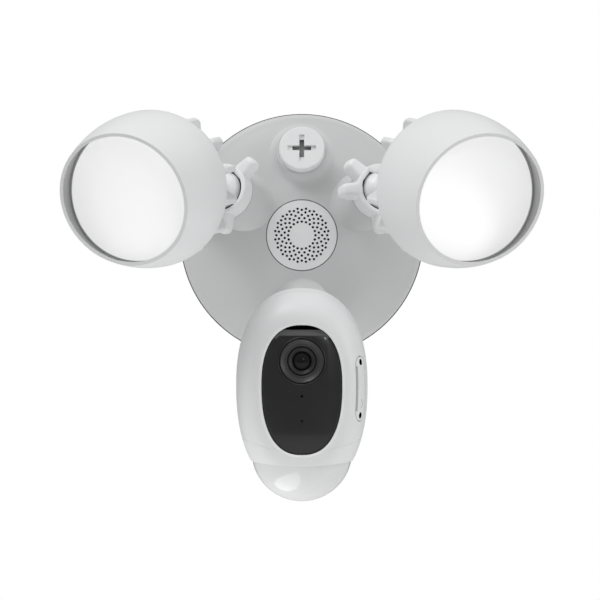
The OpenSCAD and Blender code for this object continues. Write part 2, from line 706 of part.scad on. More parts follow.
module camera_front_shell() front() color(shell_white) difference() {
    union() {
        difference() {
            intersection() {
                front_form(0);
                above_collar(0);
            }
            intersection() {
                translate([0, 0, -0.01]) front_form(cam_wall, face_sink + face_t + face_floor);
                above_collar(-cam_wall);
            }
        }
        // Pillars that the main board is screwed to
        for (x = board_post_x, y = board_post_y)
            translate([x, cam_y + y, main_z + board_t + 0.02]) cylinder(r = 3, h = face_back - main_z - board_t - 1);
        // Seat behind the side hatch
        intersection() {
            front_form(1);
            hatch_place() translate([0, 0, -hatch_seat]) hatch_outline(1.6, hatch_seat);
        }
    }
    face_prism(fit, face_back, 10);
    lens_place() translate([0, 0, -12]) cylinder(r = lens_ring_r + fit, h = 20);
    translate([0, cam_y - 5.8, cam_front - 12]) cylinder(r = 0.85, h = 20);
    for (x = board_post_x, y = board_post_y)
        translate([x, cam_y + y, main_z]) cylinder(r = 1.45, h = 12);
    hatch_place() {
        translate([0, 0, -hatch_t - 0.02]) hatch_outline(fit, 12);
        for (y = hatch_screw_y) translate([0, y, -hatch_t - 3]) cylinder(r = 0.95, h = 6);
        // Bore, step and spring pocket of the reset button
        translate([0, button_y, -hatch_t - 2]) cylinder(r = button_r + gap, h = 8);
        translate([0, button_y, -hatch_seat + 0.6]) cylinder(r = button_r + 0.9, h = hatch_seat - hatch_t - 1.8);
        // Opening of the memory card's slot
        translate([-1, -1, -hatch_seat - more]) cube([2, 12.5, hatch_seat + 4]);
    }
    dome_seat();
}

module camera_rear_shell() front() color(shell_white) difference() {
    intersection() {
        translate([0, 0, -0.15]) rear_form(0);
        above_collar(0);
    }
    intersection() {
        translate([0, 0, 0.01]) rear_form(cam_wall);
        above_collar(-cam_wall);
    }
    camera_neck_line() cylinder(r = 8.6, h = 100);
    dome_seat();
}

module sensor_collar() front() color(shell_white) difference() {
    intersection() {
        whole_form();
        above_floor();
    }
    above_collar(cut_gap);
    dome_seat();
    face_prism(fit, face_back, 10);
}

module face_panel() front() color(face_black) difference() {
    face_prism(0, face_back, face_t);
    translate([0, cam_y + lens_y, cam_front - 10]) cylinder(r = lens_ring_r + fit, h = 20);
    translate([0, cam_y - 5.8, cam_front - 10]) cylinder(r = 0.8, h = 20);
    translate([0, cam_y - 19.5, cam_front - 10]) cylinder(r = 0.6, h = 20);
}

module lens_place() translate([0, cam_y + lens_y, cam_front - face_sink]) children();

module lens_bezel() front() color([0.35, 0.35, 0.37]) lens_place() difference() {
    translate([0, 0, -9]) cylinder(r = lens_ring_r, h = 9.3);
    translate([0, 0, -2.6]) cylinder(r1 = 8.2, r2 = lens_ring_r - 0.7, h = 3);
    translate([0, 0, -10]) cylinder(r = 8.2, h = 12);
}

module lens_barrel() front() color(dark) lens_place() difference() {
    union() {
        translate([0, 0, -18]) cylinder(r = 7, h = 10);
        translate([0, 0, -8.5]) cylinder(r = 8.2 - fit, h = 6.2);
    }
    translate([0, 0, -4.4]) cylinder(r1 = 5.4, r2 = 7.6, h = 2.2);
    translate([0, 0, -20]) cylinder(r = 5.4, h = 20);
}

module lens_glass() front() color([0.16, 0.12, 0.14]) lens_place() intersection() {
    translate([0, 0, -8.6]) cylinder(r = 5.4 - 0.05, h = 6);
    translate([0, 0, -12]) sphere(r = 8.6);
}

module image_sensor_board() front() color(board_green) translate([-13, cam_y + lens_y - 13, cam_front - face_sink - 18 - 1.22])
    cube([26, 26, 1.2]);

module main_board() front() color(board_green) translate([0, 0, main_z]) difference() {
    translate([-22, cam_y - 24, 0]) cube([44, 58, 1.6]);
    for (x = board_post_x, y = board_post_y) translate([x, cam_y + y, -more]) cylinder(r = 1.6, h = 4);
}

module card_socket() front() color(steel) translate([11, cam_y - 9, main_z + 1.62]) difference() {
    cube([12, 14, 2.2]);
    translate([1.2, 1.2, 0.5]) cube([12, 11.6, 1.1]);
}

module status_light() front() color([0.80, 0.85, 0.92]) translate([0, cam_y - 5.8, face_back - 6])
    cylinder(r = 0.8 - 0.05, h = 6 + face_t - 0.3);

module hatch_cover() front() color(shell_white) difference() {
    intersection() {
        front_form(0);
        hatch_place() translate([0, 0, -hatch_t]) hatch_outline(0, 2 * hatch_t);
    }
    hatch_place() {
        for (y = hatch_screw_y) translate([0, y, 0]) {
            translate([0, 0, -hatch_t - more]) cylinder(r = 0.95, h = 9);
            translate([0, 0, screw_seat]) cylinder(r = 1.75, h = 9);
        }
        translate([0, button_y, -hatch_t - more]) cylinder(r = button_r + gap, h = 9);
        // Finger groove along the inner edge
        translate([-hatch_w / 2 - 0.2, -hatch_l / 2 + 6, -1.6]) cube([1.2, hatch_l - 12, 5]);
    }
}

screw_seat = -hatch_t + 0.8;
module hatch_screws() front() color(dark) hatch_place() for (y = hatch_screw_y)
    translate([0, y, screw_seat + 0.02]) mirror([0, 0, 1]) pan_screw(0.85, 1.6, 3);

module reset_button() front() color(shell_white) hatch_place() translate([0, button_y, 0]) difference() {
    union() {
        translate([0, 0, -hatch_t - 2]) cylinder(r = button_r, h = hatch_t + 1.5);
        translate([0, 0, -hatch_t - 2.1]) cylinder(r = button_r + 0.8, h = 0.85);
    }
    translate([0, 0, -hatch_t - 3]) cylinder(r = spring_r + wire_r + gap, h = 2.6);
}

// A short coil that pushes the button out, drawn as its turns at its pressed length
spring_r = 1.3;
wire_r = 0.25;
module button_spring() front() color(steel) hatch_place() translate([0, button_y, -hatch_seat + 0.9])
    for (k = [0:4]) translate([0, 0, 0.75 * k])
        rotate_extrude($fn = 24) translate([spring_r, 0]) circle(r = wire_r, $fn = 16);

module motion_dome() front() color([0.93, 0.94, 0.95]) translate([0, cam_y - pir_drop, pir_z])
    rotate([90, 0, 0]) rotate_extrude($fn = 180) difference() {
        circle(r = pir_r);
        circle(r = pir_r - pir_wall);
        translate([-2 * pir_r, -2 * pir_r]) square([2 * pir_r, 4 * pir_r]);
        translate([0, -2 * pir_r]) square([2 * pir_r, 2 * pir_r - dome_hidden]);
    }

module motion_sensor() front() color(steel) translate([0, cam_y - pir_drop + dome_hidden, pir_z])
    rotate([90, 0, 0]) {
        translate([0, 0, -1.22]) cylinder(r = pir_r - 1, h = 1.2);
        translate([0, 0, -0.021]) cylinder(r = 4.6, h = 4);
    }

// From the camera's ball towards its rear shell
cam_neck_to = [0, cam_y + 8.5, rear_z + 1];
cam_neck_v = cam_neck_to - ball_at(DOWN);
cam_neck_lean = atan2(-cam_neck_v[1], cam_neck_v[2]);
cam_neck_l = norm(cam_neck_v);
module camera_neck_line() translate(ball_at(DOWN)) rotate([cam_neck_lean, 0, 0]) children();

module camera_neck() front() color(shell_white) camera_neck_line() difference() {
    union() {
        sphere(r = ball_r);
        cylinder(r = neck_r, h = cam_neck_l);
        translate([0, 0, 20]) cylinder(r1 = neck_r, r2 = 8.4, h = cam_neck_l - 18);
        translate([0, 0, cam_neck_l + 6.8]) cylinder(r = 13, h = 2.4);
        translate([0, 0, cam_neck_l]) cylinder(r = 8.4, h = 6.81);
    }
    translate([0, 0, -ball_r - more]) cylinder(r = cable_r, h = cam_neck_l + 40);
}

module shell_screws() front() color(steel) for (x = board_post_x, y = board_post_y)
    translate([x, cam_y + y, main_z - 0.02]) pan_screw(1.4, 2.6, 8);

wall_gasket();
mounting_bracket();
mounting_bolt();
back_plate();
back_plate_screws();
base_housing();
cap_screw();
siren_grille();
siren_speaker();
power_board();
power_parts();
terminal_block();
socket_screws();
left_socket();
right_socket();
camera_socket();
left_clamp_ring();
right_clamp_ring();
camera_clamp_ring();
left_lock_nut();
right_lock_nut();
camera_lock_nut();
left_lamp_neck();
left_heat_sink();
left_lamp_housing();
left_lamp_lens();
left_lens_seal();
left_reflector();
left_led_board();
left_led_chips();
left_lamp_screws();
right_lamp_neck();
right_heat_sink();
right_lamp_housing();
right_lamp_lens();
right_lens_seal();
right_reflector();
right_led_board();
right_led_chips();
right_lamp_screws();
camera_neck();
camera_rear_shell();
camera_front_shell();
sensor_collar();
face_panel();
lens_bezel();
lens_barrel();
lens_glass();
image_sensor_board();
main_board();
card_socket();
status_light();
hatch_cover();
hatch_screws();
reset_button();
button_spring();
motion_dome();
motion_sensor();
shell_screws();
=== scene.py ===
# %% [markdown]
# # A floodlight security camera
# The real object is a round wall base with a siren, two round floodlights and an egg-shaped camera.
# Its skeleton is already built as exact solids. This lesson dresses that skeleton: smooth shells with
# soft edges are made in mesh code, and every surface gets a finish made of shader nodes.

# %% Load the skeleton
import json
import math

import bmesh
import bpy
from mathutils import Matrix, Vector


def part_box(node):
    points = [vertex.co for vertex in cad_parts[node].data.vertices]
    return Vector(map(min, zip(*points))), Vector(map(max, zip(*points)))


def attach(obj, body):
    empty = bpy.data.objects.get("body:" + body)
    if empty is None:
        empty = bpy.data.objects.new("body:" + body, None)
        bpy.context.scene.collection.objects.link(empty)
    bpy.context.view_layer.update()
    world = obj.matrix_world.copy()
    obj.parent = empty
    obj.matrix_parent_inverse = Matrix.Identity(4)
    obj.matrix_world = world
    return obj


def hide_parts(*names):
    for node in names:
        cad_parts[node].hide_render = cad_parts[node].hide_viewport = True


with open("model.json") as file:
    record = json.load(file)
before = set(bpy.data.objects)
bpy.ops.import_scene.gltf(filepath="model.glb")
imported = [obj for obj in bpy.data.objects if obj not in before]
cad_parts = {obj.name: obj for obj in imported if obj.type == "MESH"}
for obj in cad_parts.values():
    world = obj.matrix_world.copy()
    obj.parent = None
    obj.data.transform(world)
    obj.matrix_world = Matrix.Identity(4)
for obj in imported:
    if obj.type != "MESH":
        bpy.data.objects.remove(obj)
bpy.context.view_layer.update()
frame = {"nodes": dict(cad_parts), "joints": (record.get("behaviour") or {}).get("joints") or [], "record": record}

nodes = frame["nodes"]
joints = {joint["name"]: joint for joint in frame["joints"]}
body_of_node = {n: b for b, ns in frame["record"]["behaviour"]["bodies"].items() for n in ns}
slot_of_node = {part["node"]: part["material_slot"] for part in frame["record"]["subparts"]}

# %% [markdown]
# ## Looking at the wall
# It is easiest to model a wall light looking at the wall, with x to the right, y up and z out of the
# wall, in millimetres. One matrix turns such work into the world's frame, in metres.

# %% Frames to work in
MM = 0.001
LOOK = Matrix.Scale(MM, 4) @ Matrix.Rotation(math.radians(90), 4, "X")


def frame_of(origin, x, y, z):
    """A matrix from millimetres in a piece's own frame to the world."""
    turn = Matrix((x, y, z)).transposed().to_4x4()
    return Matrix.Translation(origin) @ turn @ Matrix.Scale(MM, 4)


# %% [markdown]
# ## The camera and the light
# The object is seen straight on through a long lens, so its lamps hardly spread apart. Soft panels
# light it: a large one high on the left, a weaker one on the right, a small one beside the viewer for
# a glint in the lens, and a low card whose reflection makes the bright oval on the sensor's dome. The
# world is white where it is seen, and lights the object less from the viewer's side.

# %% Camera
EYE_PLACE = (-0.00103, -3.187, -0.0372)
FOCAL_LENGTH = 330
lens = bpy.data.cameras.new("long_lens")
lens.lens = FOCAL_LENGTH
lens.sensor_width = 36
lens.clip_end = 50
eye = bpy.data.objects.new("eye", lens)
eye.location = EYE_PLACE
eye.rotation_euler = (math.radians(90), 0, 0)
bpy.context.scene.collection.objects.link(eye)
bpy.context.scene.camera = eye
bpy.context.scene.view_settings.view_transform = "Standard"
print("the camera stands", -EYE_PLACE[1], "m in front of the wall")

# %% Light panels
AIM = Vector((0, -0.09, 0))
DOME_AIM = Vector((0, -0.125, -0.13))


def light_panel(name, place, width, height, watts, shape="RECTANGLE", aim=AIM):
    """A soft panel that shines at the object and isn't itself seen."""
    lamp = bpy.data.lights.new(name, "AREA")
    lamp.shape = shape
    lamp.size = width
    lamp.size_y = height
    lamp.energy = watts
    panel = bpy.data.objects.new(name, lamp)
    panel.location = place
    panel.rotation_euler = (aim - Vector(place)).to_track_quat("-Z", "Y").to_euler()
    panel.visible_camera = False
    bpy.context.scene.collection.objects.link(panel)


light_panel("key_panel", (-1.1, -0.9, 2.3), 1.0, 1.0, 30)
light_panel("side_panel", (2.2, -0.9, 0.5), 0.9, 1.4, 12)
light_panel("catch_light", (0.42, -2.0, 0.42), 0.13, 0.13, 1.2)
light_panel("low_card", (-0.085, -0.155, -0.325), 0.30, 0.13, 0.2, "ELLIPSE", DOME_AIM)

# %% [markdown]
# ## Shader maths as expressions
# A finish is a small program of nodes. The class below wraps one socket, so that colour and bump can
# be written as ordinary sums and products, and one method makes any other node.

# %% Sockets with operators


class Wire:
    """An output socket whose sums and products are Math nodes."""

    def __init__(self, finish, socket):
        self.finish = finish
        self.socket = socket

    def math(self, operation, first, second):
        return self.finish.node("ShaderNodeMath", {"operation": operation}, {0: first, 1: second})

    def __add__(self, other):
        return self.math("ADD", self, other)

    def __radd__(self, other):
        return self.math("ADD", other, self)

    def __mul__(self, other):
        return self.math("MULTIPLY", self, other)

    def __rmul__(self, other):
        return self.math("MULTIPLY", other, self)

    def __gt__(self, other):
        return self.math("GREATER_THAN", self, other)


class Finish:
    """A material with one Principled shader, filled in by the recipes below."""

    def __init__(self, name, **constants):
        self.material = bpy.data.materials.new(name)
        self.material.use_nodes = True
        self.tree = self.material.node_tree
        self.tree.nodes.clear()
        self.shader = self.tree.nodes.new("ShaderNodeBsdfPrincipled")
        output = self.tree.nodes.new("ShaderNodeOutputMaterial")
        self.tree.links.new(self.shader.outputs[0], output.inputs[0])
        for key, value in constants.items():
            self.shader.inputs[key.replace("_", " ")].default_value = value

    def node(self, kind, settings=None, inputs=None, output=0):
        """Any shader node, with its settings, its inputs and the output that is wanted."""
        made = self.tree.nodes.new(kind)
        for key, value in (settings or {}).items():
            setattr(made, key, value)
        for key, value in (inputs or {}).items():
            if isinstance(value, Wire):
                self.tree.links.new(value.socket, made.inputs[key])
            else:
                made.inputs[key].default_value = value
        return Wire(self, made.outputs[output])

    def place(self, offset=(0, 0, 0), stretch=(1, 1, 1)):
        """Object coordinates, moved and stretched."""
        spot = self.node("ShaderNodeTexCoord", output="Object")
        return self.node("ShaderNodeMapping", inputs={"Vector": spot, "Location": offset, "Scale": stretch})

    def noise(self, scale, detail=2.0, where=None):
        """A soft random height from 0 to 1."""
        where = where or self.place()
        return self.node("ShaderNodeTexNoise", inputs={"Vector": where, "Scale": scale, "Detail": detail})

    def cells(self, scale):
        """Distance from the middles of scattered cells."""
        sockets = {"Vector": self.place(), "Scale": scale}
        return self.node("ShaderNodeTexVoronoi", inputs=sockets, output="Distance")

    def blend(self, share, first, second):
        """A colour between two colours."""
        return self.node("ShaderNodeMix", {"data_type": "RGBA"}, {0: share, 6: first, 7: second}, 2)

    def feed(self, key, wire):
        """Lead a wire into the shader."""
        self.tree.links.new(wire.socket, self.shader.inputs[key])

    def bump(self, height, depth, strength=1.0):
        """Relief of a height from 0 to 1, that many metres deep."""
        sockets = {"Height": height, "Distance": depth, "Strength": strength}
        relief = self.node("ShaderNodeBump", inputs=sockets)
        self.feed("Normal", relief)


def shade(level, warmth=0.0):
    """A grey, a little warm or cool."""
    return (level * (1 + warmth), level, level * (1 - warmth), 1)


# %% [markdown]
# ## The finishes
# The shells are moulded in white plastic with the fine spark-eroded grain of their tool, so their
# highlight is broad. The lamps are cast aluminium under powder paint, which dries with a soft orange
# peel. Both vary a little in shade, as real mouldings and paint do.

# %% Moulded plastic and powder paint


def moulded(name, level, roughness, grain=1.0, warmth=-0.006, **constants):
    """Plastic with a fine grain and a faint cloudiness."""
    finish = Finish(name, **constants)
    cloud = finish.noise(14, 3)
    finish.feed("Base Color", finish.blend(cloud, shade(level * 0.975, warmth), shade(level * 1.02, warmth)))
    finish.feed("Roughness", roughness - 0.04 + 0.08 * finish.noise(60, 2))
    finish.bump(finish.noise(2600, 1) + 0.6 * finish.noise(900, 1), 0.00003 * grain, 0.5)
    return finish.material


def powder_paint(name, level, roughness):
    """Baked powder paint: orange peel over a fine tooth."""
    finish = Finish(name, Coat_Roughness=0.3)
    finish.shader.inputs["Coat Weight"].default_value = 0.12
    cloud = finish.noise(9, 3)
    finish.feed("Base Color", finish.blend(cloud, shade(level * 0.98, -0.006), shade(level * 1.015, -0.006)))
    finish.feed("Roughness", roughness - 0.03 + 0.07 * finish.noise(120, 2))
    finish.bump(finish.noise(420, 2) + 0.35 * finish.noise(1900, 1), 0.00006, 0.45)
    return finish.material


# %% [markdown]
# The other finishes are the closed foam of the gasket, zinc-plated steel with a brushed grain, the
# green boards with their copper tracks, the opal disc with a painted glow, the smooth black face and
# the coated glass with a painted reflection.

# %% Foam, steel and boards


def foam(name):
    """Closed-cell foam rubber: dark, with tiny pores."""
    finish = Finish(name)
    pores = finish.cells(1400)
    finish.feed("Base Color", finish.blend(pores, shade(0.012), shade(0.032)))
    finish.feed("Roughness", 0.82 + 0.1 * finish.noise(300, 2))
    finish.bump(pores, 0.0002, 0.6)
    return finish.material


def plated_steel(name):
    """Zinc-plated steel: a brushed grain and a cloudy plating."""
    finish = Finish(name, Metallic=1.0)
    grain = finish.noise(90, 4, finish.place(stretch=(1, 1, 40)))
    cloud = finish.noise(30, 3)
    finish.feed("Base Color", finish.blend(cloud, shade(0.52, -0.01), shade(0.66, 0.004)))
    finish.feed("Roughness", 0.26 + 0.2 * grain)
    finish.bump(grain, 0.00003, 0.4)
    return finish.material


def circuit_board(name):
    """Green solder mask over copper tracks."""
    finish = Finish(name, Coat_Roughness=0.15)
    finish.shader.inputs["Coat Weight"].default_value = 0.4
    tracks = finish.cells(260) > 0.55
    tint = finish.noise(40, 2)
    mask = finish.blend(tint, (0.008, 0.075, 0.03, 1), (0.012, 0.1, 0.04, 1))
    finish.feed("Base Color", finish.blend(tracks * 0.6, mask, (0.03, 0.19, 0.07, 1)))
    finish.feed("Roughness", 0.34 + 0.08 * tint)
    finish.bump(tracks, 0.00004, 0.6)
    return finish.material


# %% Opal, black face, glass and small finishes


def opal(name):
    """The diffuser, with an even painted glow from its emission."""
    finish = Finish(name, Roughness=0.4, Emission_Strength=0.5)
    cloud = finish.noise(30, 2)
    finish.feed("Base Color", finish.blend(cloud, shade(0.86), shade(0.9)))
    finish.feed("Emission Color", finish.blend(cloud, shade(0.97), shade(1.0)))
    finish.bump(finish.noise(1500, 1), 0.00002, 0.4)
    return finish.material


def gloss(name, level, roughness, coat=0.3, warmth=0.0, **constants):
    """Smooth moulded plastic with a faint haze of handling."""
    finish = Finish(name, Coat_Roughness=0.04, **constants)
    finish.shader.inputs["Coat Weight"].default_value = coat
    haze = finish.noise(35, 4)
    finish.feed("Base Color", finish.blend(haze, shade(level * 0.94, warmth), shade(level * 1.06, warmth)))
    finish.feed("Roughness", roughness - 0.03 + 0.06 * haze)
    finish.bump(finish.noise(700, 2), 0.00001, 0.4)
    return finish.material


RINGS_PER_METRE = 24000


def radius_about(finish, centre):
    """Distance from the lens's axis, which runs out of the wall: y hardly counts."""
    where = finish.place(offset=tuple(-c for c in centre), stretch=(1, 0.001, 1))
    return finish.node("ShaderNodeVectorMath", {"operation": "LENGTH"}, {0: where}, "Value")


def turned(name, level, roughness, centre):
    """Dark plastic with fine turned rings about the lens."""
    finish = Finish(name)
    radius = radius_about(finish, centre)
    rings = finish.node("ShaderNodeMath", {"operation": "SINE"}, {0: radius * RINGS_PER_METRE})
    haze = finish.noise(90, 2)
    finish.feed("Base Color", finish.blend(haze, shade(level * 0.9), shade(level * 1.1)))
    finish.feed("Roughness", roughness + 0.05 * haze)
    finish.bump(rings, 0.00002, 0.5)
    return finish.material


def glass_with_painted_reflection(name, centre):
    """The lens: nearly black, with a reddish ring that fades towards the edge, which is the coating's reflection
    painted into the colour.
    """
    finish = Finish(name, Roughness=0.05, Specular_IOR_Level=0.16, Coat_Roughness=0.02)
    finish.shader.inputs["Coat Weight"].default_value = 0.1
    radius = radius_about(finish, centre)
    ring = finish.node("ShaderNodeMapRange", {"interpolation_type": "SMOOTHSTEP"},
                       {0: radius, 1: 0.0014, 2: 0.0036, 3: 0.0, 4: 1.0})
    edge = finish.node("ShaderNodeMapRange", {"interpolation_type": "SMOOTHSTEP"},
                       {0: radius, 1: 0.0036, 2: 0.0052, 3: 0.0, 4: 1.0})
    # The reddish ring is the coating's reflection painted into the colour: a painted reflection.
    inner = finish.blend(ring, (0.004, 0.003, 0.003, 1), (0.045, 0.026, 0.024, 1))
    finish.feed("Base Color", finish.blend(edge, inner, (0.012, 0.012, 0.014, 1)))
    finish.bump(finish.noise(200, 1), 0.000002, 0.3)
    return finish.material


def phosphor(name):
    """The yellow layer over a light-emitting diode."""
    finish = Finish(name, Roughness=0.35)
    spot = finish.cells(900)
    finish.feed("Base Color", finish.blend(spot, (0.8, 0.5, 0.06, 1), (0.9, 0.68, 0.16, 1)))
    finish.bump(spot, 0.00004, 0.4)
    return finish.material


lens_low, lens_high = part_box("lens_glass")
lens_centre = (lens_low + lens_high) / 2

finishes = {
    "shell_white": moulded("shell_white_finish", 0.84, 0.42),
    # The base's finish is the shell's white plastic made darker: painted shade.
    "base_painted_shade": moulded("base_painted_shade_finish", 0.62, 0.46),
    # The lip is the shell's white plastic made lighter and glossier: a painted highlight.
    "lip_painted_highlight": moulded("lip_painted_highlight_finish", 0.93, 0.3, 0.5),
    # A grey powder paint that stands for shade: painted on the hood's inner wall and in the cap's slot.
    "painted_shade_grey": powder_paint("painted_shade_grey_finish", 0.38, 0.5),
    # A dead black that stands for shade: painted in the gap above the face and in the hatch screws' recesses.
    "painted_shade_black": gloss("painted_shade_black_finish", 0.001, 0.7, 0.0, 0.0, Specular_IOR_Level=0.0),
    # A grey on the slanted band of the black face: a painted highlight.
    "band_painted_highlight": gloss("band_painted_highlight_finish", 0.11, 0.4, 0.2),
    "lamp_paint": powder_paint("lamp_paint_finish", 0.84, 0.42),
    "gasket_foam": foam("gasket_foam_finish"),
    "bracket_steel": plated_steel("bracket_steel_finish"),
    "dark_plastic": moulded("dark_plastic_finish", 0.018, 0.5, 1.4, 0.0),
    "circuit_board": circuit_board("circuit_board_finish"),
    # The diffuser's emission is a painted glow; the lamp itself is not lit.
    "lamp_diffuser": opal("diffuser_painted_glow_finish"),
    "reflector_white": gloss("reflector_white_finish", 0.86, 0.25),
    "led_phosphor": phosphor("led_phosphor_finish"),
    "face_black": gloss("face_black_finish", 0.016, 0.3, 0.2),
    "bezel_grey": turned("bezel_grey_finish", 0.03, 0.36, lens_centre),
    "lens_glass": glass_with_painted_reflection("lens_painted_reflection_finish", lens_centre),
    "status_window": gloss("status_window_finish", 0.001, 0.5, 0.0, 0.0, Specular_IOR_Level=0.05),
    "sensor_dome": gloss("sensor_dome_finish", 0.76, 0.4, 1.0, -0.004, Specular_IOR_Level=0.1),
}
print("made", len(finishes), "finishes")

# %% [markdown]
# ## Ways to make a piece
# Most pieces are turned, so a half section is spun about an axis. The camera's shells are not round:
# they are lofted through egg-shaped rings. Exact Boolean cuts then open the seats and holes, and a
# fine bevel softens the edges, because an edge that catches no light looks like paper.

# %% Put a piece in its place


def settle(bm, name, matrix=None):
    """Turn a bmesh into an object at the origin, with its place in its mesh."""
    if matrix is not None:
        bmesh.ops.transform(bm, matrix=matrix, verts=bm.verts)
    mesh = bpy.data.meshes.new(name)
    bm.to_mesh(mesh)
    bm.free()
    piece = bpy.data.objects.new(name, mesh)
    bpy.context.scene.collection.objects.link(piece)
    return piece


def dress(piece, node, soft=0.0, angle=32, segments=2, slot=None, finish=None):
    """Shade the piece, soften its edges and let it stand for a node."""
    slot = slot or slot_of_node[node]
    mesh = piece.data
    mesh.materials.clear()
    mesh.materials.append(finishes[finish or slot])
    mesh.polygons.foreach_set("material_index", [0] * len(mesh.polygons))
    mesh.shade_smooth()
    if soft:
        edge = piece.modifiers.new("soft_edges", "BEVEL")
        edge.width = soft * MM
        edge.segments = segments
        edge.limit_method = "ANGLE"
        edge.angle_limit = math.radians(angle)
        edge.harden_normals = True
    else:
        mesh.set_sharp_from_angle(angle=math.radians(angle))
    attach(piece, body_of_node[node])
    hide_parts(node)
    return piece


def repaint(piece, finish, matrix, wanted):
    """Give a second finish to the faces that the test picks, in a frame of their own."""
    mesh = piece.data
    mesh.materials.append(finishes[finish])
    home = matrix.inverted()
    turn = home.to_3x3().normalized()
    for face in mesh.polygons:
        if wanted(home @ face.center, (turn @ face.normal).normalized()):
            face.material_index = len(mesh.materials) - 1


def join_with(target, other, operation):
    """Add, cut or keep what is common, exactly, and drop the tool."""
    step = target.modifiers.new("step", "BOOLEAN")
    step.operation = operation
    step.solver = "EXACT"
    step.object = other
    bpy.context.view_layer.update()
    ready = target.evaluated_get(bpy.context.evaluated_depsgraph_get())
    target.data = bpy.data.meshes.new_from_object(ready)
    target.modifiers.clear()
    bpy.data.objects.remove(other)
    return target


# %% Spin a half section


def arc(centre, radius, start, end, count):
    """Points on an arc of a half section, angles in degrees from the outward direction."""
    turns = [math.radians(start + (end - start) * k / count) for k in range(count + 1)]
    return [(centre[0] + radius * math.cos(t), centre[1] + radius * math.sin(t)) for t in turns]


def bend(first, pull, last, count=10):
    """Points on a smooth curve from first to last, drawn towards pull."""
    points = []
    for k in range(count + 1):
        t = k / count
        weights = ((1 - t) ** 2, 2 * t * (1 - t), t ** 2)
        points.append(tuple(sum(w * p[i] for w, p in zip(weights, (first, pull, last))) for i in (0, 1)))
    return points


def turned_bmesh(section, steps=96):
    """Spin a half section of (radius, height) about the z axis, in millimetres."""
    bm = bmesh.new()
    verts = [bm.verts.new((max(r, 0), 0, z)) for r, z in section]
    edges = [bm.edges.new(pair) for pair in zip(verts, verts[1:] + verts[:1])]
    bmesh.ops.spin(bm, geom=verts + edges, cent=(0, 0, 0), axis=(0, 0, 1),
                   angle=math.tau, steps=steps, use_merge=True)
    bmesh.ops.remove_doubles(bm, verts=bm.verts, dist=1e-4)
    bmesh.ops.dissolve_degenerate(bm, dist=1e-4, edges=bm.edges)
    bmesh.ops.recalc_face_normals(bm, faces=bm.faces)
    return bm


def spun(name, section, matrix, steps=96):
    """A spun half section as an object."""
    return settle(turned_bmesh(section, steps), name, matrix)


def block(name, low, high, matrix):
    """A cutting block between two corners."""
    bm = bmesh.new()
    bmesh.ops.create_cube(bm, size=1)
    size = [h - l for l, h in zip(low, high)]
    middle = [(h + l) / 2 for l, h in zip(low, high)]
    bmesh.ops.scale(bm, vec=size, verts=bm.verts)
    bmesh.ops.translate(bm, vec=middle, verts=bm.verts)
    return settle(bm, name, matrix)


# %% [markdown]
# Some skeleton nodes already have the right shape. Their meshes are loose triangles, so a copy is
# merged, its flat faces are joined, and the copy gets soft edges and smooth shading.

# %% Polish a copy of a node


def polish(node, soft=0.0, angle=32, slot=None):
    """Put a cleaned copy of a node's mesh in its place."""
    bm = bmesh.new()
    bm.from_mesh(nodes[node].data)
    bmesh.ops.remove_doubles(bm, verts=bm.verts, dist=2e-6)
    bmesh.ops.dissolve_degenerate(bm, dist=1e-6, edges=bm.edges)
    bmesh.ops.dissolve_limit(bm, angle_limit=math.radians(0.6), verts=bm.verts, edges=bm.edges)
    return dress(settle(bm, node + "_piece"), node, soft, angle=angle, slot=slot)


# %% [markdown]
# ## The base
# The base is a shallow dome with a rounded edge. Three feet flare up from it to carry the ball
# joints, and a low boss carries the cap. Each is spun on its own, and exact Boolean unions join
# them, so that the flare meets the dome in a soft valley.

# %% Base dome
BASE_R = 69.9
BASE_TOP = 29.0
EDGE_LOW = 2.5
EDGE_Z = 8.4
EDGE_ROUND = 4
DOME_REACH = 66.5
DOME_RISE = 16.6
DOME_R = (DOME_REACH ** 2 + DOME_RISE ** 2) / (2 * DOME_RISE)
WALL = 2.6


def dome_height(r):
    """Height of the dome at a distance from its middle."""
    return BASE_TOP - DOME_R + math.sqrt(DOME_R ** 2 - r ** 2)


RIM_TURN = 62
outer = [(BASE_R, EDGE_LOW)] + arc((BASE_R - EDGE_ROUND, EDGE_Z), EDGE_ROUND, 0, RIM_TURN, 8)
outer += [(r, dome_height(r)) for r in [66.2 * (1 - k / 40) for k in range(41)]]
inner = [(r, dome_height(r) - WALL) for r in [66.0 * k / 30 for k in range(31)]]
inner += [(BASE_R - WALL, 8.0), (BASE_R - WALL, EDGE_LOW)]
base_shell = spun("base_shell", outer + inner, LOOK, 192)

# %% Arm frames
BALL_H = 15.8


def arm_frame(joint_name):
    """The frame of an arm: z along the arm, origin at the arm's foot."""
    axis = Vector(joints[joint_name]["axis"]).normalized()
    side = Vector((-axis.z, 0, axis.x)).normalized()
    origin = Vector(joints[joint_name]["pos_m"]) - axis * BALL_H * MM
    return frame_of(origin, side.cross(axis), side, axis)


arms = {name: arm_frame(name + "_nut_turn") for name in ("left", "right", "camera")}
CAP_Y = 47.0
cap_lean = math.asin(CAP_Y / DOME_R)
cap_spot = Matrix.Translation((0, CAP_Y, dome_height(CAP_Y)))
cap_frame = LOOK @ cap_spot @ Matrix.Rotation(-cap_lean, 4, "X")
print("arms:", ", ".join(arms))

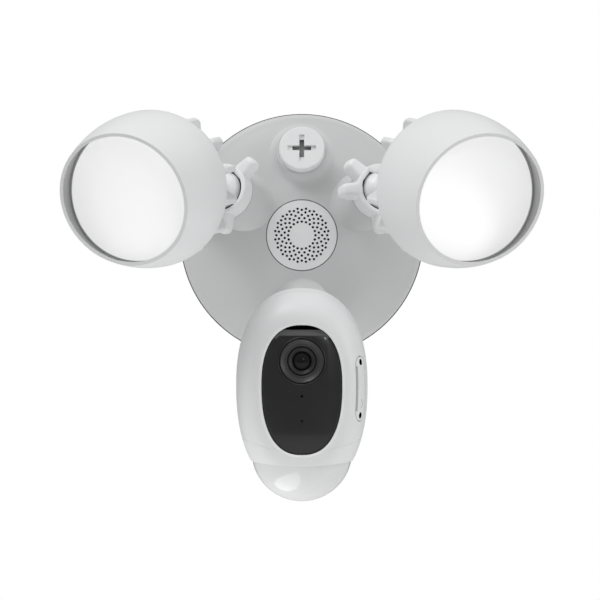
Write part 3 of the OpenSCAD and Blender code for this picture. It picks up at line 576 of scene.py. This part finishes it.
# %% Feet, boss and bores
NUT_LOW = 12.0
BORE_R = 14.35
CAP_R = 13
WELL_R = 10.6
SIREN_R = 20.2
foot_section = [(0, -7.5)] + bend((22.5, -7.5), (16.3, -3.8), (15.0, 6.5), 14)
foot_section += [(15.0, NUT_LOW - 0.7), (0, NUT_LOW - 0.7)]
boss_section = [(0, -3.5), (19.5, -3.5)] + bend((19.5, -1.4), (15.4, -0.6), (14.7, 3.6), 10)
boss_section += [(14.4, 4.2), (0, 4.2)]
for name, arm in arms.items():
    join_with(base_shell, spun("foot", foot_section, arm, 128), "UNION")
join_with(base_shell, spun("boss", boss_section, cap_frame, 128), "UNION")
for name, arm in arms.items():
    bore = [(0, -20), (BORE_R, -20), (BORE_R, 30), (0, 30)]
    join_with(base_shell, spun("bore", bore, arm, 128), "DIFFERENCE")
cap_seat = [(0, -9), (WELL_R + 0.2, -9), (WELL_R + 0.2, 1.2)]
cap_seat += [(CAP_R + 0.15, 1.2), (CAP_R + 0.15, 12), (0, 12)]
join_with(base_shell, spun("cap_seat", cap_seat, cap_frame, 128), "DIFFERENCE")
siren_seat = [(0, 6), (18.5, 6), (18.5, 23.9), (SIREN_R + 0.4, 23.9), (SIREN_R + 0.4, 40), (0, 40)]
join_with(base_shell, spun("siren_seat", siren_seat, LOOK, 128), "DIFFERENCE")
# The base gets the darker copy of the shell's white plastic: painted shade.
dress(base_shell, "base_housing", 0.35, angle=34, finish="base_painted_shade")
print("base shell:", len(base_shell.data.polygons), "faces")

# %% [markdown]
# ## The lock nuts
# Each ball is held by a nut with four thumb wings at uneven steps. The ring is spun. A wing is a
# cube drawn out into a paddle, with its edges rounded until it is a petal.

# %% Lock nuts
NUT_TOP = 21.8
NUT_R = 15.3
WING_STEPS = (0, 44, 132, 264)
WING_SIZE = (13.4, 7.0, 9.6)
WING_ROOT = 1.5
WING_SOFT = 2.6
WING_PLACE = (18.0, 0, NUT_TOP - 5.2)
nut_turns = {"left": -10, "right": 110, "camera": 40}
nut_section = [(14.3, NUT_LOW), (NUT_R - 0.4, NUT_LOW), (NUT_R, NUT_LOW + 0.4)]
nut_section += [(NUT_R, NUT_TOP - 1.2)] + arc((NUT_R - 1.2, NUT_TOP - 1.2), 1.2, 0, 90, 5)
nut_section += arc((13.2, NUT_TOP - 0.6), 0.6, 90, 180, 4) + [(12.6, NUT_TOP - 2), (14.3, NUT_TOP - 2)]


def wing(turn, arm):
    """A paddle, wider at its root, at a turn about the arm."""
    bm = bmesh.new()
    bmesh.ops.create_cube(bm, size=1)
    bmesh.ops.scale(bm, vec=WING_SIZE, verts=bm.verts)
    root = [vert for vert in bm.verts if vert.co.x < 0]
    bmesh.ops.scale(bm, vec=(1, WING_ROOT, 1), verts=root)
    bmesh.ops.bevel(bm, geom=bm.edges, offset=WING_SOFT, segments=6, profile=0.5,
                    affect="EDGES", material=-1, clamp_overlap=True)
    bmesh.ops.translate(bm, vec=WING_PLACE, verts=bm.verts)
    swing = Matrix.Rotation(math.radians(turn), 3, "Z")
    bmesh.ops.rotate(bm, cent=(0, 0, 0), matrix=swing, verts=bm.verts)
    return settle(bm, "wing", arm)


for name, arm in arms.items():
    nut = spun(name + "_nut_piece", nut_section, arm, 96)
    for step in WING_STEPS:
        join_with(nut, wing(step + nut_turns[name], arm), "UNION")
    dress(nut, name + "_lock_nut", angle=38)
print("lock nut:", len(nut.data.polygons), "faces")

# %% Balls, sockets and rings keep the skeleton's shape
for side in ("left", "right", "camera"):
    polish(side + "_socket", 0.2)
    polish(side + "_clamp_ring")
polish("left_lamp_neck")
polish("right_lamp_neck")
polish("camera_neck")

# %% [markdown]
# ## Cap, siren and what lies behind
# The cap is turned with a crisp edge, and two crossed blocks cut its slot, which is shallower at the
# ends. The siren's grille follows the dome and has six rings of holes, closer together outwards.
# The bracket, the back plate and the screws are seen only from behind.

# %% Cap
CAP_TOP = 9.7
SLOT_REACH = 8.2
SLOT_DEEP = 5.4
cap_section = [(8.6, 0.25), (WELL_R, 0.25), (WELL_R, 1.4), (CAP_R, 1.4), (CAP_R, CAP_TOP - 0.6)]
cap_section += [(12.8, CAP_TOP - 0.2), (12.4, CAP_TOP), (0, CAP_TOP), (0, 3.2), (8.6, 3.2)]
cap = spun("cap_piece", cap_section, cap_frame, 128)
for turn in (0, 90):
    slot_frame = cap_frame @ Matrix.Rotation(math.radians(turn), 4, "Z")
    for reach, half, depth in ((SLOT_REACH, 1.5, 1.2), (SLOT_DEEP, 1.3, 4.0)):
        cutter = block("slot", (-reach, -half, CAP_TOP - depth), (reach, half, 20), slot_frame)
        join_with(cap, cutter, "DIFFERENCE")


def in_slot(place, normal):
    """True on the deep part of the cross slot."""
    return max(abs(place.x), abs(place.y)) < SLOT_DEEP + 0.1 and 4 < place.z < CAP_TOP - 1.3


dress(cap, "cap_screw", angle=20)
# The deep part of the slot gets the grey: painted shade.
repaint(cap, "painted_shade_grey", cap_frame, in_slot)

# %% Siren grille
RINGS = (7.86, 9.93, 11.7, 13.3, 14.6, 15.4)
HOLES = 20
HOLE_R = 0.72
GRILLE_LOW = 24.1
grille_section = [(0, GRILLE_LOW), (SIREN_R, GRILLE_LOW), (SIREN_R, dome_height(SIREN_R) - 0.35)]
grille_section += [(r, dome_height(r)) for r in [19.95 * (1 - k / 24) for k in range(25)]]
grille = spun("grille_piece", grille_section, LOOK, 160)
bm = bmesh.new()
for k, ring in enumerate(RINGS):
    for hole in range(HOLES):
        turn = math.tau * (hole + 0.5 * (k % 2)) / HOLES
        spot = Matrix.Translation((ring * math.sin(turn), ring * math.cos(turn), 26))
        bmesh.ops.create_cone(bm, cap_ends=True, segments=16, radius1=HOLE_R, radius2=HOLE_R,
                              depth=16, matrix=spot)
join_with(grille, settle(bm, "holes", LOOK), "DIFFERENCE")
dress(grille, "siren_grille", angle=40)
print("siren grille:", HOLES * len(RINGS), "holes")

# %% Polished pieces of the base
polish("mounting_bracket")
polish("back_plate")
polish("wall_gasket", 0.4)
polish("mounting_bolt", 0.2)
for node in ("siren_speaker", "back_plate_screws", "socket_screws"):
    polish(node)

# %% [markdown]
# ## The floodlights
# A lamp is a flared drum with a slanted visor. Its whole wall, with the step that the diffuser
# rests on, is one closed half section. It is spun and cut off by a slanted plane, and the two rings
# of cut edges are bridged, which gives the visor a clean rim. The hood's inner wall is painted
# darker grey as painted shade.

# %% Lamp frames
RIM_R = 37.1
DRUM_R = 43.7
DRUM_L = 43.0
NOSE = 12.0
VISOR = 16
LENS_DEPTH = 19.0
LENS_T = 2.4


def middle(node):
    """The middle of a node's box."""
    low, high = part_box(node)
    return (low + high) / 2


def lamp_frame(side):
    """z along the lamp and out, origin at the rim's centre."""
    glass = middle(side + "_lamp_lens")
    axis = (glass - middle(side + "_led_board")).normalized()
    across = Vector((0, 0, 1)).cross(axis).normalized()
    rim = glass + axis * (LENS_DEPTH + LENS_T / 2) * MM
    return frame_of(rim, across, axis.cross(across), axis)


lamps = {side: lamp_frame(side) for side in ("left", "right")}

# %% Lamp housing
nose_share = math.sin(math.radians(90 * NOSE / (NOSE + DRUM_L)))
nose_r = (RIM_R - nose_share * DRUM_R) / (1 - nose_share)
BACK_ROUND = 11.0
BACK_FLAT = 0.75
BACK_Z = -DRUM_L - BACK_ROUND
SEAT_Z = -LENS_DEPTH - LENS_T - 1.2
LAMP_WALL = 2.0


def drum_radius(z, inset=0.0):
    """Radius of the drum at a depth behind the rim."""
    if z > -DRUM_L:
        share = math.sin(math.radians(90 * (NOSE - z) / (NOSE + DRUM_L)))
        return nose_r + (DRUM_R - nose_r) * share - inset
    turn = math.asin(min(1, (-z - DRUM_L) / BACK_ROUND))
    return DRUM_R - BACK_ROUND * BACK_FLAT * (1 - math.cos(turn)) - inset


def drum_wall(start, end, inset, count):
    """Points down the drum's wall, between two depths."""
    steps = [start + (end - start) * k / count for k in range(count + 1)]
    return [(drum_radius(z, inset), z) for z in steps]


back_turns = [math.radians(90 * k / 12) for k in range(1, 13)]
back_curve = [(DRUM_R - BACK_ROUND * BACK_FLAT * (1 - math.cos(t)), -DRUM_L - BACK_ROUND * math.sin(t))
              for t in back_turns]
inner_curve = [(r - LAMP_WALL, z) for r, z in reversed(back_curve) if z > BACK_Z + 2.2]
lamp_section = drum_wall(NOSE, -DRUM_L, 0, 30) + back_curve + [(26, BACK_Z), (26, BACK_Z + 2.2)]
lamp_section += [(inner_curve[0][0] - 1.5, BACK_Z + 2.2)] + inner_curve
lamp_section += drum_wall(-DRUM_L, SEAT_Z - 3, LAMP_WALL, 8) + [(35.9, SEAT_Z - 3), (35.9, SEAT_Z)]
lamp_section += drum_wall(SEAT_Z, NOSE, LAMP_WALL, 16)


def faces_inwards(place, normal):
    """True on the hood's inner wall, in front of the diffuser."""
    inwards = place.x * normal.x + place.y * normal.y < -20
    return inwards and place.z > -LENS_DEPTH - 4


visor_way = (0, -math.sin(math.radians(VISOR)), math.cos(math.radians(VISOR)))
for side, lamp in lamps.items():
    bm = turned_bmesh(lamp_section, 160)
    cut = bmesh.ops.bisect_plane(bm, geom=bm.verts[:] + bm.edges[:] + bm.faces[:], plane_co=(0, 0, 0),
                                 plane_no=visor_way, clear_outer=True)["geom_cut"]
    bmesh.ops.bridge_loops(bm, edges=[e for e in cut if isinstance(e, bmesh.types.BMEdge)])
    bmesh.ops.recalc_face_normals(bm, faces=bm.faces)
    housing = settle(bm, side + "_housing_piece", lamp)
    dress(housing, side + "_lamp_housing", 0.55, angle=40, segments=3)
    # The hood's inner wall gets the grey: painted shade.
    repaint(housing, "painted_shade_grey", lamp, faces_inwards)
print("lamp housing:", len(housing.data.polygons), "faces")

# %% [markdown]
# The diffuser is a thick opal disc with a rounded edge. Behind the drum the cooling fins stand
# round a cone. A fin starts as a flat outline that is given its thickness and rounded edges, and
# all the fins and the cone are joined into one casting.

# %% Diffuser
LENS_R = 38.1
lens_section = [(0, -LENS_DEPTH - LENS_T), (LENS_R, -LENS_DEPTH - LENS_T)]
lens_section += arc((LENS_R - 0.8, -LENS_DEPTH - 0.8), 0.8, 0, 90, 5) + [(0, -LENS_DEPTH)]
for side, lamp in lamps.items():
    dress(spun(side + "_diffuser_piece", lens_section, lamp, 128), side + "_lamp_lens")

# %% Heat sink
FIN_ROUND = 1.0
FIN_N = 14
FIN_T = 3.6
FIN_FRONT = BACK_Z - 0.8
FIN_BACK = -112.0
fin_outline = [(9.6, FIN_FRONT), (39.5, FIN_FRONT), (41, FIN_FRONT - 1.5), (41, FIN_FRONT - 15),
               (39, FIN_FRONT - 20), (30, FIN_FRONT - 31), (14, FIN_BACK + 1.5), (9.6, FIN_BACK + 0.2)]


def fins():
    """All the fins in one bmesh."""
    bm = bmesh.new()
    for k in range(FIN_N):
        verts = [bm.verts.new((r, -FIN_T / 2, z)) for r, z in fin_outline]
        face = bm.faces.new(verts)
        grown = bmesh.ops.extrude_face_region(bm, geom=[face])["geom"]
        top = [g for g in grown if isinstance(g, bmesh.types.BMVert)]
        bmesh.ops.translate(bm, vec=(0, FIN_T, 0), verts=top)
        every = verts + top
        bmesh.ops.rotate(bm, cent=(0, 0, 0), verts=every,
                         matrix=Matrix.Rotation(math.radians(90 + k * 360 / FIN_N), 3, "Z"))
    bmesh.ops.recalc_face_normals(bm, faces=bm.faces)
    bmesh.ops.bevel(bm, geom=bm.edges, offset=FIN_ROUND, segments=3, profile=0.5,
                    affect="EDGES", material=-1, clamp_overlap=True)
    return bm


core_section = [(4.6, FIN_BACK), (10, FIN_BACK), (20.8, -57.5), (33, -57), (33, -54.02), (25.8, -54.02)]
core_section += [(25.8, -48), (4.6, -48)]
for side, lamp in lamps.items():
    sink = spun(side + "_sink_piece", core_section, lamp, 96)
    join_with(sink, settle(fins(), "fins", lamp), "UNION")
    dress(sink, side + "_heat_sink", angle=36)
print("heat sink:", len(sink.data.polygons), "faces")

# %% [markdown]
# ## The camera's shells
# Seen from the front the camera is an egg: one half-width, and different heights above and below
# its widest place. The shoulder turns from that outline to the smaller one round the face. The
# body is lofted by extruding one ring of edges again and again and placing each new ring.

# %% Egg outlines
CAM_Y = -84.5
CAM_FRONT = 157.0
FRONT_D = 25
REAR_D = 39
REAR_ROUND = 19
WAIST_Z = CAM_FRONT - FRONT_D
REAR_Z = WAIST_Z - REAR_D
SEAM_TURN = 26
COUNT = 128
FACE = (22.2, 33.3, 38.1)
BODY = (36.5, 54.0, 59.5)
LIP = 1.4
CAM_WALL = 2.2


def egg(n, a, up, down):
    """An outline with its own heights above and below the widest place; n squares it off."""
    points = []
    for k in range(COUNT):
        c = math.cos(math.tau * k / COUNT)
        s = math.sin(math.tau * k / COUNT)
        x = math.copysign(abs(c) ** (2 / n), c) * a
        y = math.copysign(abs(s) ** (2 / n), s) * (up if s >= 0 else down)
        points.append((x, y))
    return points


def shoulder(turn, inset=0.0):
    """Outline and height of the shoulder at a turn of its curve."""
    part = 1 - math.cos(math.radians(turn))
    sizes = [b + (f + LIP - b) * part - inset for b, f in zip(BODY, FACE)]
    return egg(2.3 + 0.1 * part, *sizes), WAIST_Z + FRONT_D * math.sin(math.radians(turn))


def back(turn, inset=0.0):
    """Outline and height of the rounded back at a turn of its curve."""
    shrink = REAR_ROUND * (1 - math.cos(math.radians(turn))) + inset
    outline = egg(2.3, *(b - shrink for b in BODY))
    return outline, WAIST_Z - (REAR_D - inset) * math.sin(math.radians(turn))


def spread(start, end, count):
    """Even steps from start to end."""
    return [start + (end - start) * k / count for k in range(count + 1)]


# %% Loft through rings


def loft(name, rings):
    """A closed body through (outline, height) rings, looking at the wall."""
    bm = bmesh.new()
    places = [[(x, y + CAM_Y, z) for x, y in outline] for outline, z in rings]
    ring = bmesh.ops.create_circle(bm, cap_ends=False, segments=len(places[0]), radius=1)["verts"]
    for vert, place in zip(ring, places[0]):
        vert.co = place
    bmesh.ops.contextual_create(bm, geom=ring)
    edges = [e for e in bm.edges if len(e.link_faces) == 1]
    for before, after in zip(places, places[1:]):
        index = {tuple(Vector(p)): k for k, p in enumerate(before)}
        grown = bmesh.ops.extrude_edge_only(bm, edges=edges)["geom"]
        edges = [g for g in grown if isinstance(g, bmesh.types.BMEdge)]
        for vert in [g for g in grown if isinstance(g, bmesh.types.BMVert)]:
            vert.co = after[index[tuple(vert.co)]]
    bmesh.ops.contextual_create(bm, geom=edges)
    bmesh.ops.recalc_face_normals(bm, faces=bm.faces)
    return settle(bm, name, LOOK)


front_rings = [shoulder(t) for t in spread(SEAM_TURN, 90, 24)]
rear_rings = [back(t) for t in spread(90, 0, 20)] + [shoulder(t) for t in spread(2, SEAM_TURN - 0.6, 8)]
whole_rings = [back(t) for t in spread(90, 0, 20)] + [shoulder(t) for t in spread(3, 90, 28)]

# %% Cutters for the seams and seats
COLLAR_R = (33 ** 2 + 7 ** 2) / 14
FLOOR_R = (28 ** 2 + 2.5 ** 2) / 5
PIR_R = 28.0
PIR_PLACE = (0, CAM_Y - 36.7, (CAM_FRONT + REAR_Z) / 2 - 0.4)
dome_frame = LOOK @ Matrix.Translation(PIR_PLACE) @ Matrix.Rotation(-math.pi / 2, 4, "X")


def drum(name, centre_y, radius, steps):
    """A long drum out of the wall, whose edge is a seam's curve."""
    section = [(0, REAR_Z - 10), (radius, REAR_Z - 10), (radius, CAM_FRONT + 10), (0, CAM_FRONT + 10)]
    return spun(name, section, LOOK @ Matrix.Translation((0, centre_y, 0)), steps)


def above_collar(grow=0.0):
    """Everything above the collar's curved seam."""
    return drum("above_collar", CAM_Y - 36.5 + COLLAR_R, COLLAR_R + grow, 360)


def dome_seat():
    """The room that the sensor's dome takes in the collar."""
    section = [(0, 6), (27.7, 6)] + arc((0, 0), 28.35, 12, -90, 40)
    return spun("dome_seat", section, dome_frame, 128)


FACE_GAP = 0.15


def face_opening():
    """The opening for the face, with the lip's chamfer; the lip's brightness comes partly from this chamfer's
    light and partly from a painted highlight.
    """
    steps = [(FACE_GAP, CAM_FRONT - 3.6), (FACE_GAP, CAM_FRONT - 0.85)]
    steps += [(FACE_GAP + 0.75, CAM_FRONT), (FACE_GAP + 1.0, CAM_FRONT + 3)]
    return loft("face_opening", [(egg(2.4, *(f + g for f in FACE)), z) for g, z in steps])


# %% Hatch frame
hatch_turn = math.radians(43)
HATCH_X = BODY[0] - (BODY[0] - FACE[0] - LIP) * (1 - math.cos(hatch_turn))
HATCH_Z = CAM_FRONT - FRONT_D * (1 - math.sin(hatch_turn))
hatch_lean = math.atan2(FRONT_D * math.cos(hatch_turn), (BODY[0] - FACE[0] - LIP) * math.sin(hatch_turn))
hatch_frame = LOOK @ Matrix.Translation((HATCH_X, -86.2, HATCH_Z)) @ Matrix.Rotation(hatch_lean, 4, "Y")
HATCH_L = 35.9
HATCH_W = 11.0


def stadium(name, grow, low, high):
    """A block with round ends, across the hatch's frame."""
    bm = bmesh.new()
    ring = bmesh.ops.create_circle(bm, cap_ends=True, segments=64, radius=HATCH_W / 2 + grow)["verts"]
    run = HATCH_L / 2 - HATCH_W / 2
    for vert in ring:
        vert.co.y += run if vert.co.y > 1e-6 else -run
    bmesh.ops.translate(bm, vec=(0, 0, low), verts=bm.verts)
    grown = bmesh.ops.extrude_face_region(bm, geom=list(bm.faces))["geom"]
    top = [g for g in grown if isinstance(g, bmesh.types.BMVert)]
    bmesh.ops.translate(bm, vec=(0, 0, high - low), verts=top)
    bmesh.ops.recalc_face_normals(bm, faces=bm.faces)
    return settle(bm, name, hatch_frame)


# %% [markdown]
# The front shell is the lofted shoulder, hollowed by a smaller one, cut off along the collar's
# curved seam, and opened for the face, the lens and the hatch.

# %% Front shell
front_shell = loft("front_shell_piece", front_rings)
hollow = [shoulder(t, CAM_WALL) for t in spread(SEAM_TURN - 6, 62, 14)]
join_with(front_shell, loft("hollow", hollow), "DIFFERENCE")
join_with(front_shell, above_collar(), "INTERSECT")
join_with(front_shell, face_opening(), "DIFFERENCE")
LENS_Y = CAM_Y + 13.6
FACE_TOP = CAM_FRONT - 1.6
BEZEL_R = 13.2
lens_frame = LOOK @ Matrix.Translation((0, LENS_Y, FACE_TOP))


def pin(radius, low):
    """Half section of a round hole."""
    return [(0, low), (radius, low), (radius, 5), (0, 5)]


join_with(front_shell, spun("lens_hole", pin(BEZEL_R + 0.2, -20), lens_frame), "DIFFERENCE")
join_with(front_shell, stadium("hatch_seat", 0.22, -3.8, 9), "DIFFERENCE")


def on_lip(place, normal):
    """True on the lip round the face."""
    sizes = [f + 1.35 for f in FACE]
    y = place.y - CAM_Y
    reach = abs(place.x / sizes[0]) ** 2.4 + abs(y / (sizes[1] if y > 0 else sizes[2])) ** 2.4
    return place.z > CAM_FRONT - 1.2 and reach < 1


dress(front_shell, "camera_front_shell", 0.18, angle=38)
# The lip's faces get a lighter finish: a painted highlight.
repaint(front_shell, "lip_painted_highlight", LOOK, on_lip)
print("front shell:", len(front_shell.data.polygons), "faces")

# %% Rear shell
rear_shell = loft("rear_shell_piece", rear_rings)
hollow = [back(t, CAM_WALL) for t in spread(84, 0, 16)] + [shoulder(t, CAM_WALL) for t in spread(4, 32, 6)]
join_with(rear_shell, loft("hollow", hollow), "DIFFERENCE")
join_with(rear_shell, above_collar(), "INTERSECT")
neck_way = Vector((0, -REAR_Z * MM - MM, (CAM_Y + 8.5) * MM)) - Vector(joints["camera_tilt"]["pos_m"])
neck_axis = neck_way.normalized()
neck_side = Vector((1, 0, 0))
neck_frame = frame_of(joints["camera_tilt"]["pos_m"], neck_side, neck_axis.cross(neck_side), neck_axis)
neck_hole = [(0, 20), (8.6, 20), (8.6, 90), (0, 90)]
join_with(rear_shell, spun("neck_hole", neck_hole, neck_frame), "DIFFERENCE")
dress(rear_shell, "camera_rear_shell", 0.18, angle=38)

# %% [markdown]
# The collar below the curved seam carries the motion sensor's frosted dome, which is a thin bowl.

# %% Sensor collar and dome
collar = loft("collar_piece", whole_rings)
join_with(collar, drum("above_floor", CAM_Y - 44.5 + FLOOR_R, FLOOR_R, 512), "INTERSECT")
join_with(collar, above_collar(0.05), "DIFFERENCE")
join_with(collar, dome_seat(), "DIFFERENCE")
join_with(collar, face_opening(), "DIFFERENCE")
dress(collar, "sensor_collar", 0.1, angle=38)
# The lip's faces on the collar get the same lighter finish: a painted highlight.
repaint(collar, "lip_painted_highlight", LOOK, on_lip)
dome_section = arc((0, 0), PIR_R, 8.2, -90, 48) + arc((0, 0), PIR_R - 1.4, -90, 8.7, 48)
dress(spun("dome_piece", dome_section, dome_frame, 160), "motion_dome")

# %% [markdown]
# ## Face and lens
# The black face sits a little below the lip, with a chamfered edge. The lens is a set of turned
# rings that step inwards to a domed glass.

# %% Face panel
face_steps = [(0.0, FACE_TOP - 2), (0.0, FACE_TOP - 0.9), (-0.25, FACE_TOP - 0.5), (-1.5, FACE_TOP)]
panel = loft("face_panel_piece", [(egg(2.4, *(f + g for f in FACE)), z) for g, z in face_steps])
join_with(panel, spun("lens_hole", pin(BEZEL_R + 0.15, -9), lens_frame, 128), "DIFFERENCE")
for drop, radius in ((5.8, 0.8), (19.5, 0.6)):
    spot = LOOK @ Matrix.Translation((0, CAM_Y - drop, CAM_FRONT))
    join_with(panel, spun("pin_hole", pin(radius, -9), spot, 32), "DIFFERENCE")
top = CAM_Y + FACE[1]
recess = block("top_recess", (-30, top - 2.4, FACE_TOP - 1.5), (30, top + 9, FACE_TOP + 3), LOOK)
join_with(panel, recess, "DIFFERENCE")
band_turn = Matrix.Translation((0, top - 5.6, FACE_TOP)) @ Matrix.Rotation(math.radians(-13), 4, "X")
join_with(panel, block("top_band", (-30, 0, 0), (30, 12, 4), LOOK @ band_turn), "DIFFERENCE")


def in_recess(place, normal):
    """True in the gap above the face."""
    return place.y > top - 2.7 and place.z < FACE_TOP - 0.9


def on_band(place, normal):
    """True on the slanted band under the gap."""
    return top - 7 < place.y < top - 2.9 and 0.15 < normal.y < 0.4 and normal.z > 0.9


dress(panel, "face_panel", 0.12, angle=50)
# The gap above the face is painted black: painted shadow.
repaint(panel, "painted_shade_black", LOOK, in_recess)
# The slanted band gets the lighter grey: a painted highlight.
repaint(panel, "band_painted_highlight", LOOK, on_band)

# %% Lens rings and glass
bezel_section = [(8.25, -9), (BEZEL_R, -9), (BEZEL_R, 0.1), (13.0, 0.25), (12.85, 0.1)]
bezel_section += [(12.8, -2.4), (12.1, -2.4)]
bezel_section += [(12.05, -0.1), (11.8, 0.05), (11.6, -0.3), (9.6, -1.7), (9.2, -1.8)]
bezel_section += [(8.9, -2.4), (8.25, -2.7)]
dress(spun("bezel_piece", bezel_section, lens_frame, 128), "lens_bezel", angle=24)
barrel_section = [(5.45, -17.9), (7, -17.9), (7, -8.5), (7.75, -8.5), (7.75, -2.9), (7.5, -2.5), (7.0, -2.5)]
for k in range(4):
    barrel_section += [(6.9 - 0.38 * k, -2.75 - 0.5 * k), (6.62 - 0.38 * k, -2.95 - 0.5 * k)]
barrel_section += [(5.45, -5.3)]
dress(spun("barrel_piece", barrel_section, lens_frame, 96), "lens_barrel", angle=24)
glass_section = [(0, -8.6), (5.4, -8.6)] + arc((0, -12), 8.6, 51.1, 90, 20)
dress(spun("glass_piece", glass_section, lens_frame, 96), "lens_glass")

# %% [markdown]
# ## The side hatch
# The hatch follows the shoulder, so it is what the camera's body and a round-ended block have in
# common. It has two sunk screws, a hole for the reset button and a groove for a fingernail. The
# screws' recesses are deep and hardly lit, so their walls are painted black as painted shade.

# %% Hatch
BUTTON_Y = -8.2
RECESS_REACH = 2.2
hatch = loft("hatch_piece", front_rings)
join_with(hatch, stadium("hatch_block", -0.25, -3.7, 9), "INTERSECT")
screw_spots = [-HATCH_L / 2 + 3.2, HATCH_L / 2 - 3.2]
for y in screw_spots:
    hole = [(0, -9), (0.95, -9), (0.95, -3), (1.75, -3), (1.75, 9), (0, 9)]
    join_with(hatch, spun("screw_hole", hole, hatch_frame @ Matrix.Translation((0, y, 0)), 48), "DIFFERENCE")
button_hole = [(0, -9), (2.3, -9), (2.3, 9), (0, 9)]
button_spot = hatch_frame @ Matrix.Translation((0, BUTTON_Y, 0))
join_with(hatch, spun("button_hole", button_hole, button_spot, 48), "DIFFERENCE")
join_with(hatch, block("nail_groove", (-5.2, -12.4, -3.0), (-3.6, 12.4, 5), hatch_frame), "DIFFERENCE")


def in_hatch_hole(place, normal):
    """True on the walls and floor of the screws' recesses."""
    near = any(math.hypot(place.x, place.y - y) < RECESS_REACH for y in screw_spots)
    return near and (abs(normal.z) < 0.5 or place.z < -2)


dress(hatch, "hatch_cover", 0.14, angle=38)
# The walls and floors of the screws' recesses are painted black: painted shade.
repaint(hatch, "painted_shade_black", hatch_frame, in_hatch_hole)
polish("reset_button", 0.3)
polish("hatch_screws", slot="dark_plastic")

# %% [markdown]
# ## Everything else
# The boards, seals and screws inside keep the skeleton's meshes and get their finishes.

# %% Finishes of the remaining nodes
for name, node in nodes.items():
    for slot in node.material_slots:
        slot.material = finishes[slot_of_node[name]]
print("gave finishes to", len(nodes), "nodes")

# %% [markdown]
# ## Floor and surroundings
# A plain pale floor lies below, out of the camera's sight. The world is white where it is seen, and
# lights the object more from the sides and above than from the viewer.

# %% Floor
FLOOR_HALF = 1.3
FLOOR_Z = -0.36
bm = bmesh.new()
bmesh.ops.create_grid(bm, x_segments=1, y_segments=1, size=FLOOR_HALF)
bmesh.ops.translate(bm, vec=(0, 0, FLOOR_Z), verts=bm.verts)
floor = settle(bm, "floor")
floor.data.materials.append(moulded("floor_finish", 0.78, 0.6, 0.5, 0.0))

# %% World
SIDE_GLOW = 0.54
FRONT_LOSS = -0.40
TOP_GAIN = 0.20
world = bpy.data.worlds.new("studio")
bpy.context.scene.world = world
world.use_nodes = True
tree = world.node_tree
tree.nodes.clear()
way = tree.nodes.new("ShaderNodeTexCoord")
split = tree.nodes.new("ShaderNodeSeparateXYZ")
tree.links.new(way.outputs["Generated"], split.inputs[0])
squared = tree.nodes.new("ShaderNodeMath")
squared.operation = "MULTIPLY"
tree.links.new(split.outputs["Y"], squared.inputs[0])
tree.links.new(split.outputs["Y"], squared.inputs[1])
from_side = tree.nodes.new("ShaderNodeMath")
from_side.operation = "MULTIPLY_ADD"
from_side.inputs[1].default_value = FRONT_LOSS
from_side.inputs[2].default_value = SIDE_GLOW
tree.links.new(squared.outputs[0], from_side.inputs[0])
from_top = tree.nodes.new("ShaderNodeMath")
from_top.operation = "MULTIPLY_ADD"
from_top.inputs[1].default_value = TOP_GAIN
tree.links.new(split.outputs["Z"], from_top.inputs[0])
tree.links.new(from_side.outputs[0], from_top.inputs[2])
glow = tree.nodes.new("ShaderNodeBackground")
tree.links.new(from_top.outputs[0], glow.inputs["Strength"])
white = tree.nodes.new("ShaderNodeBackground")
path = tree.nodes.new("ShaderNodeLightPath")
choose = tree.nodes.new("ShaderNodeMixShader")
tree.links.new(path.outputs["Is Camera Ray"], choose.inputs[0])
tree.links.new(glow.outputs[0], choose.inputs[1])
tree.links.new(white.outputs[0], choose.inputs[2])
out = tree.nodes.new("ShaderNodeOutputWorld")
tree.links.new(choose.outputs[0], out.inputs[0])
for background in (glow, white):
    background.inputs["Color"].default_value = (1, 1, 1, 1)

# %% [markdown]
# ## The end
# The scene is brought up to date once more.

# %% The end
bpy.context.view_layer.update()
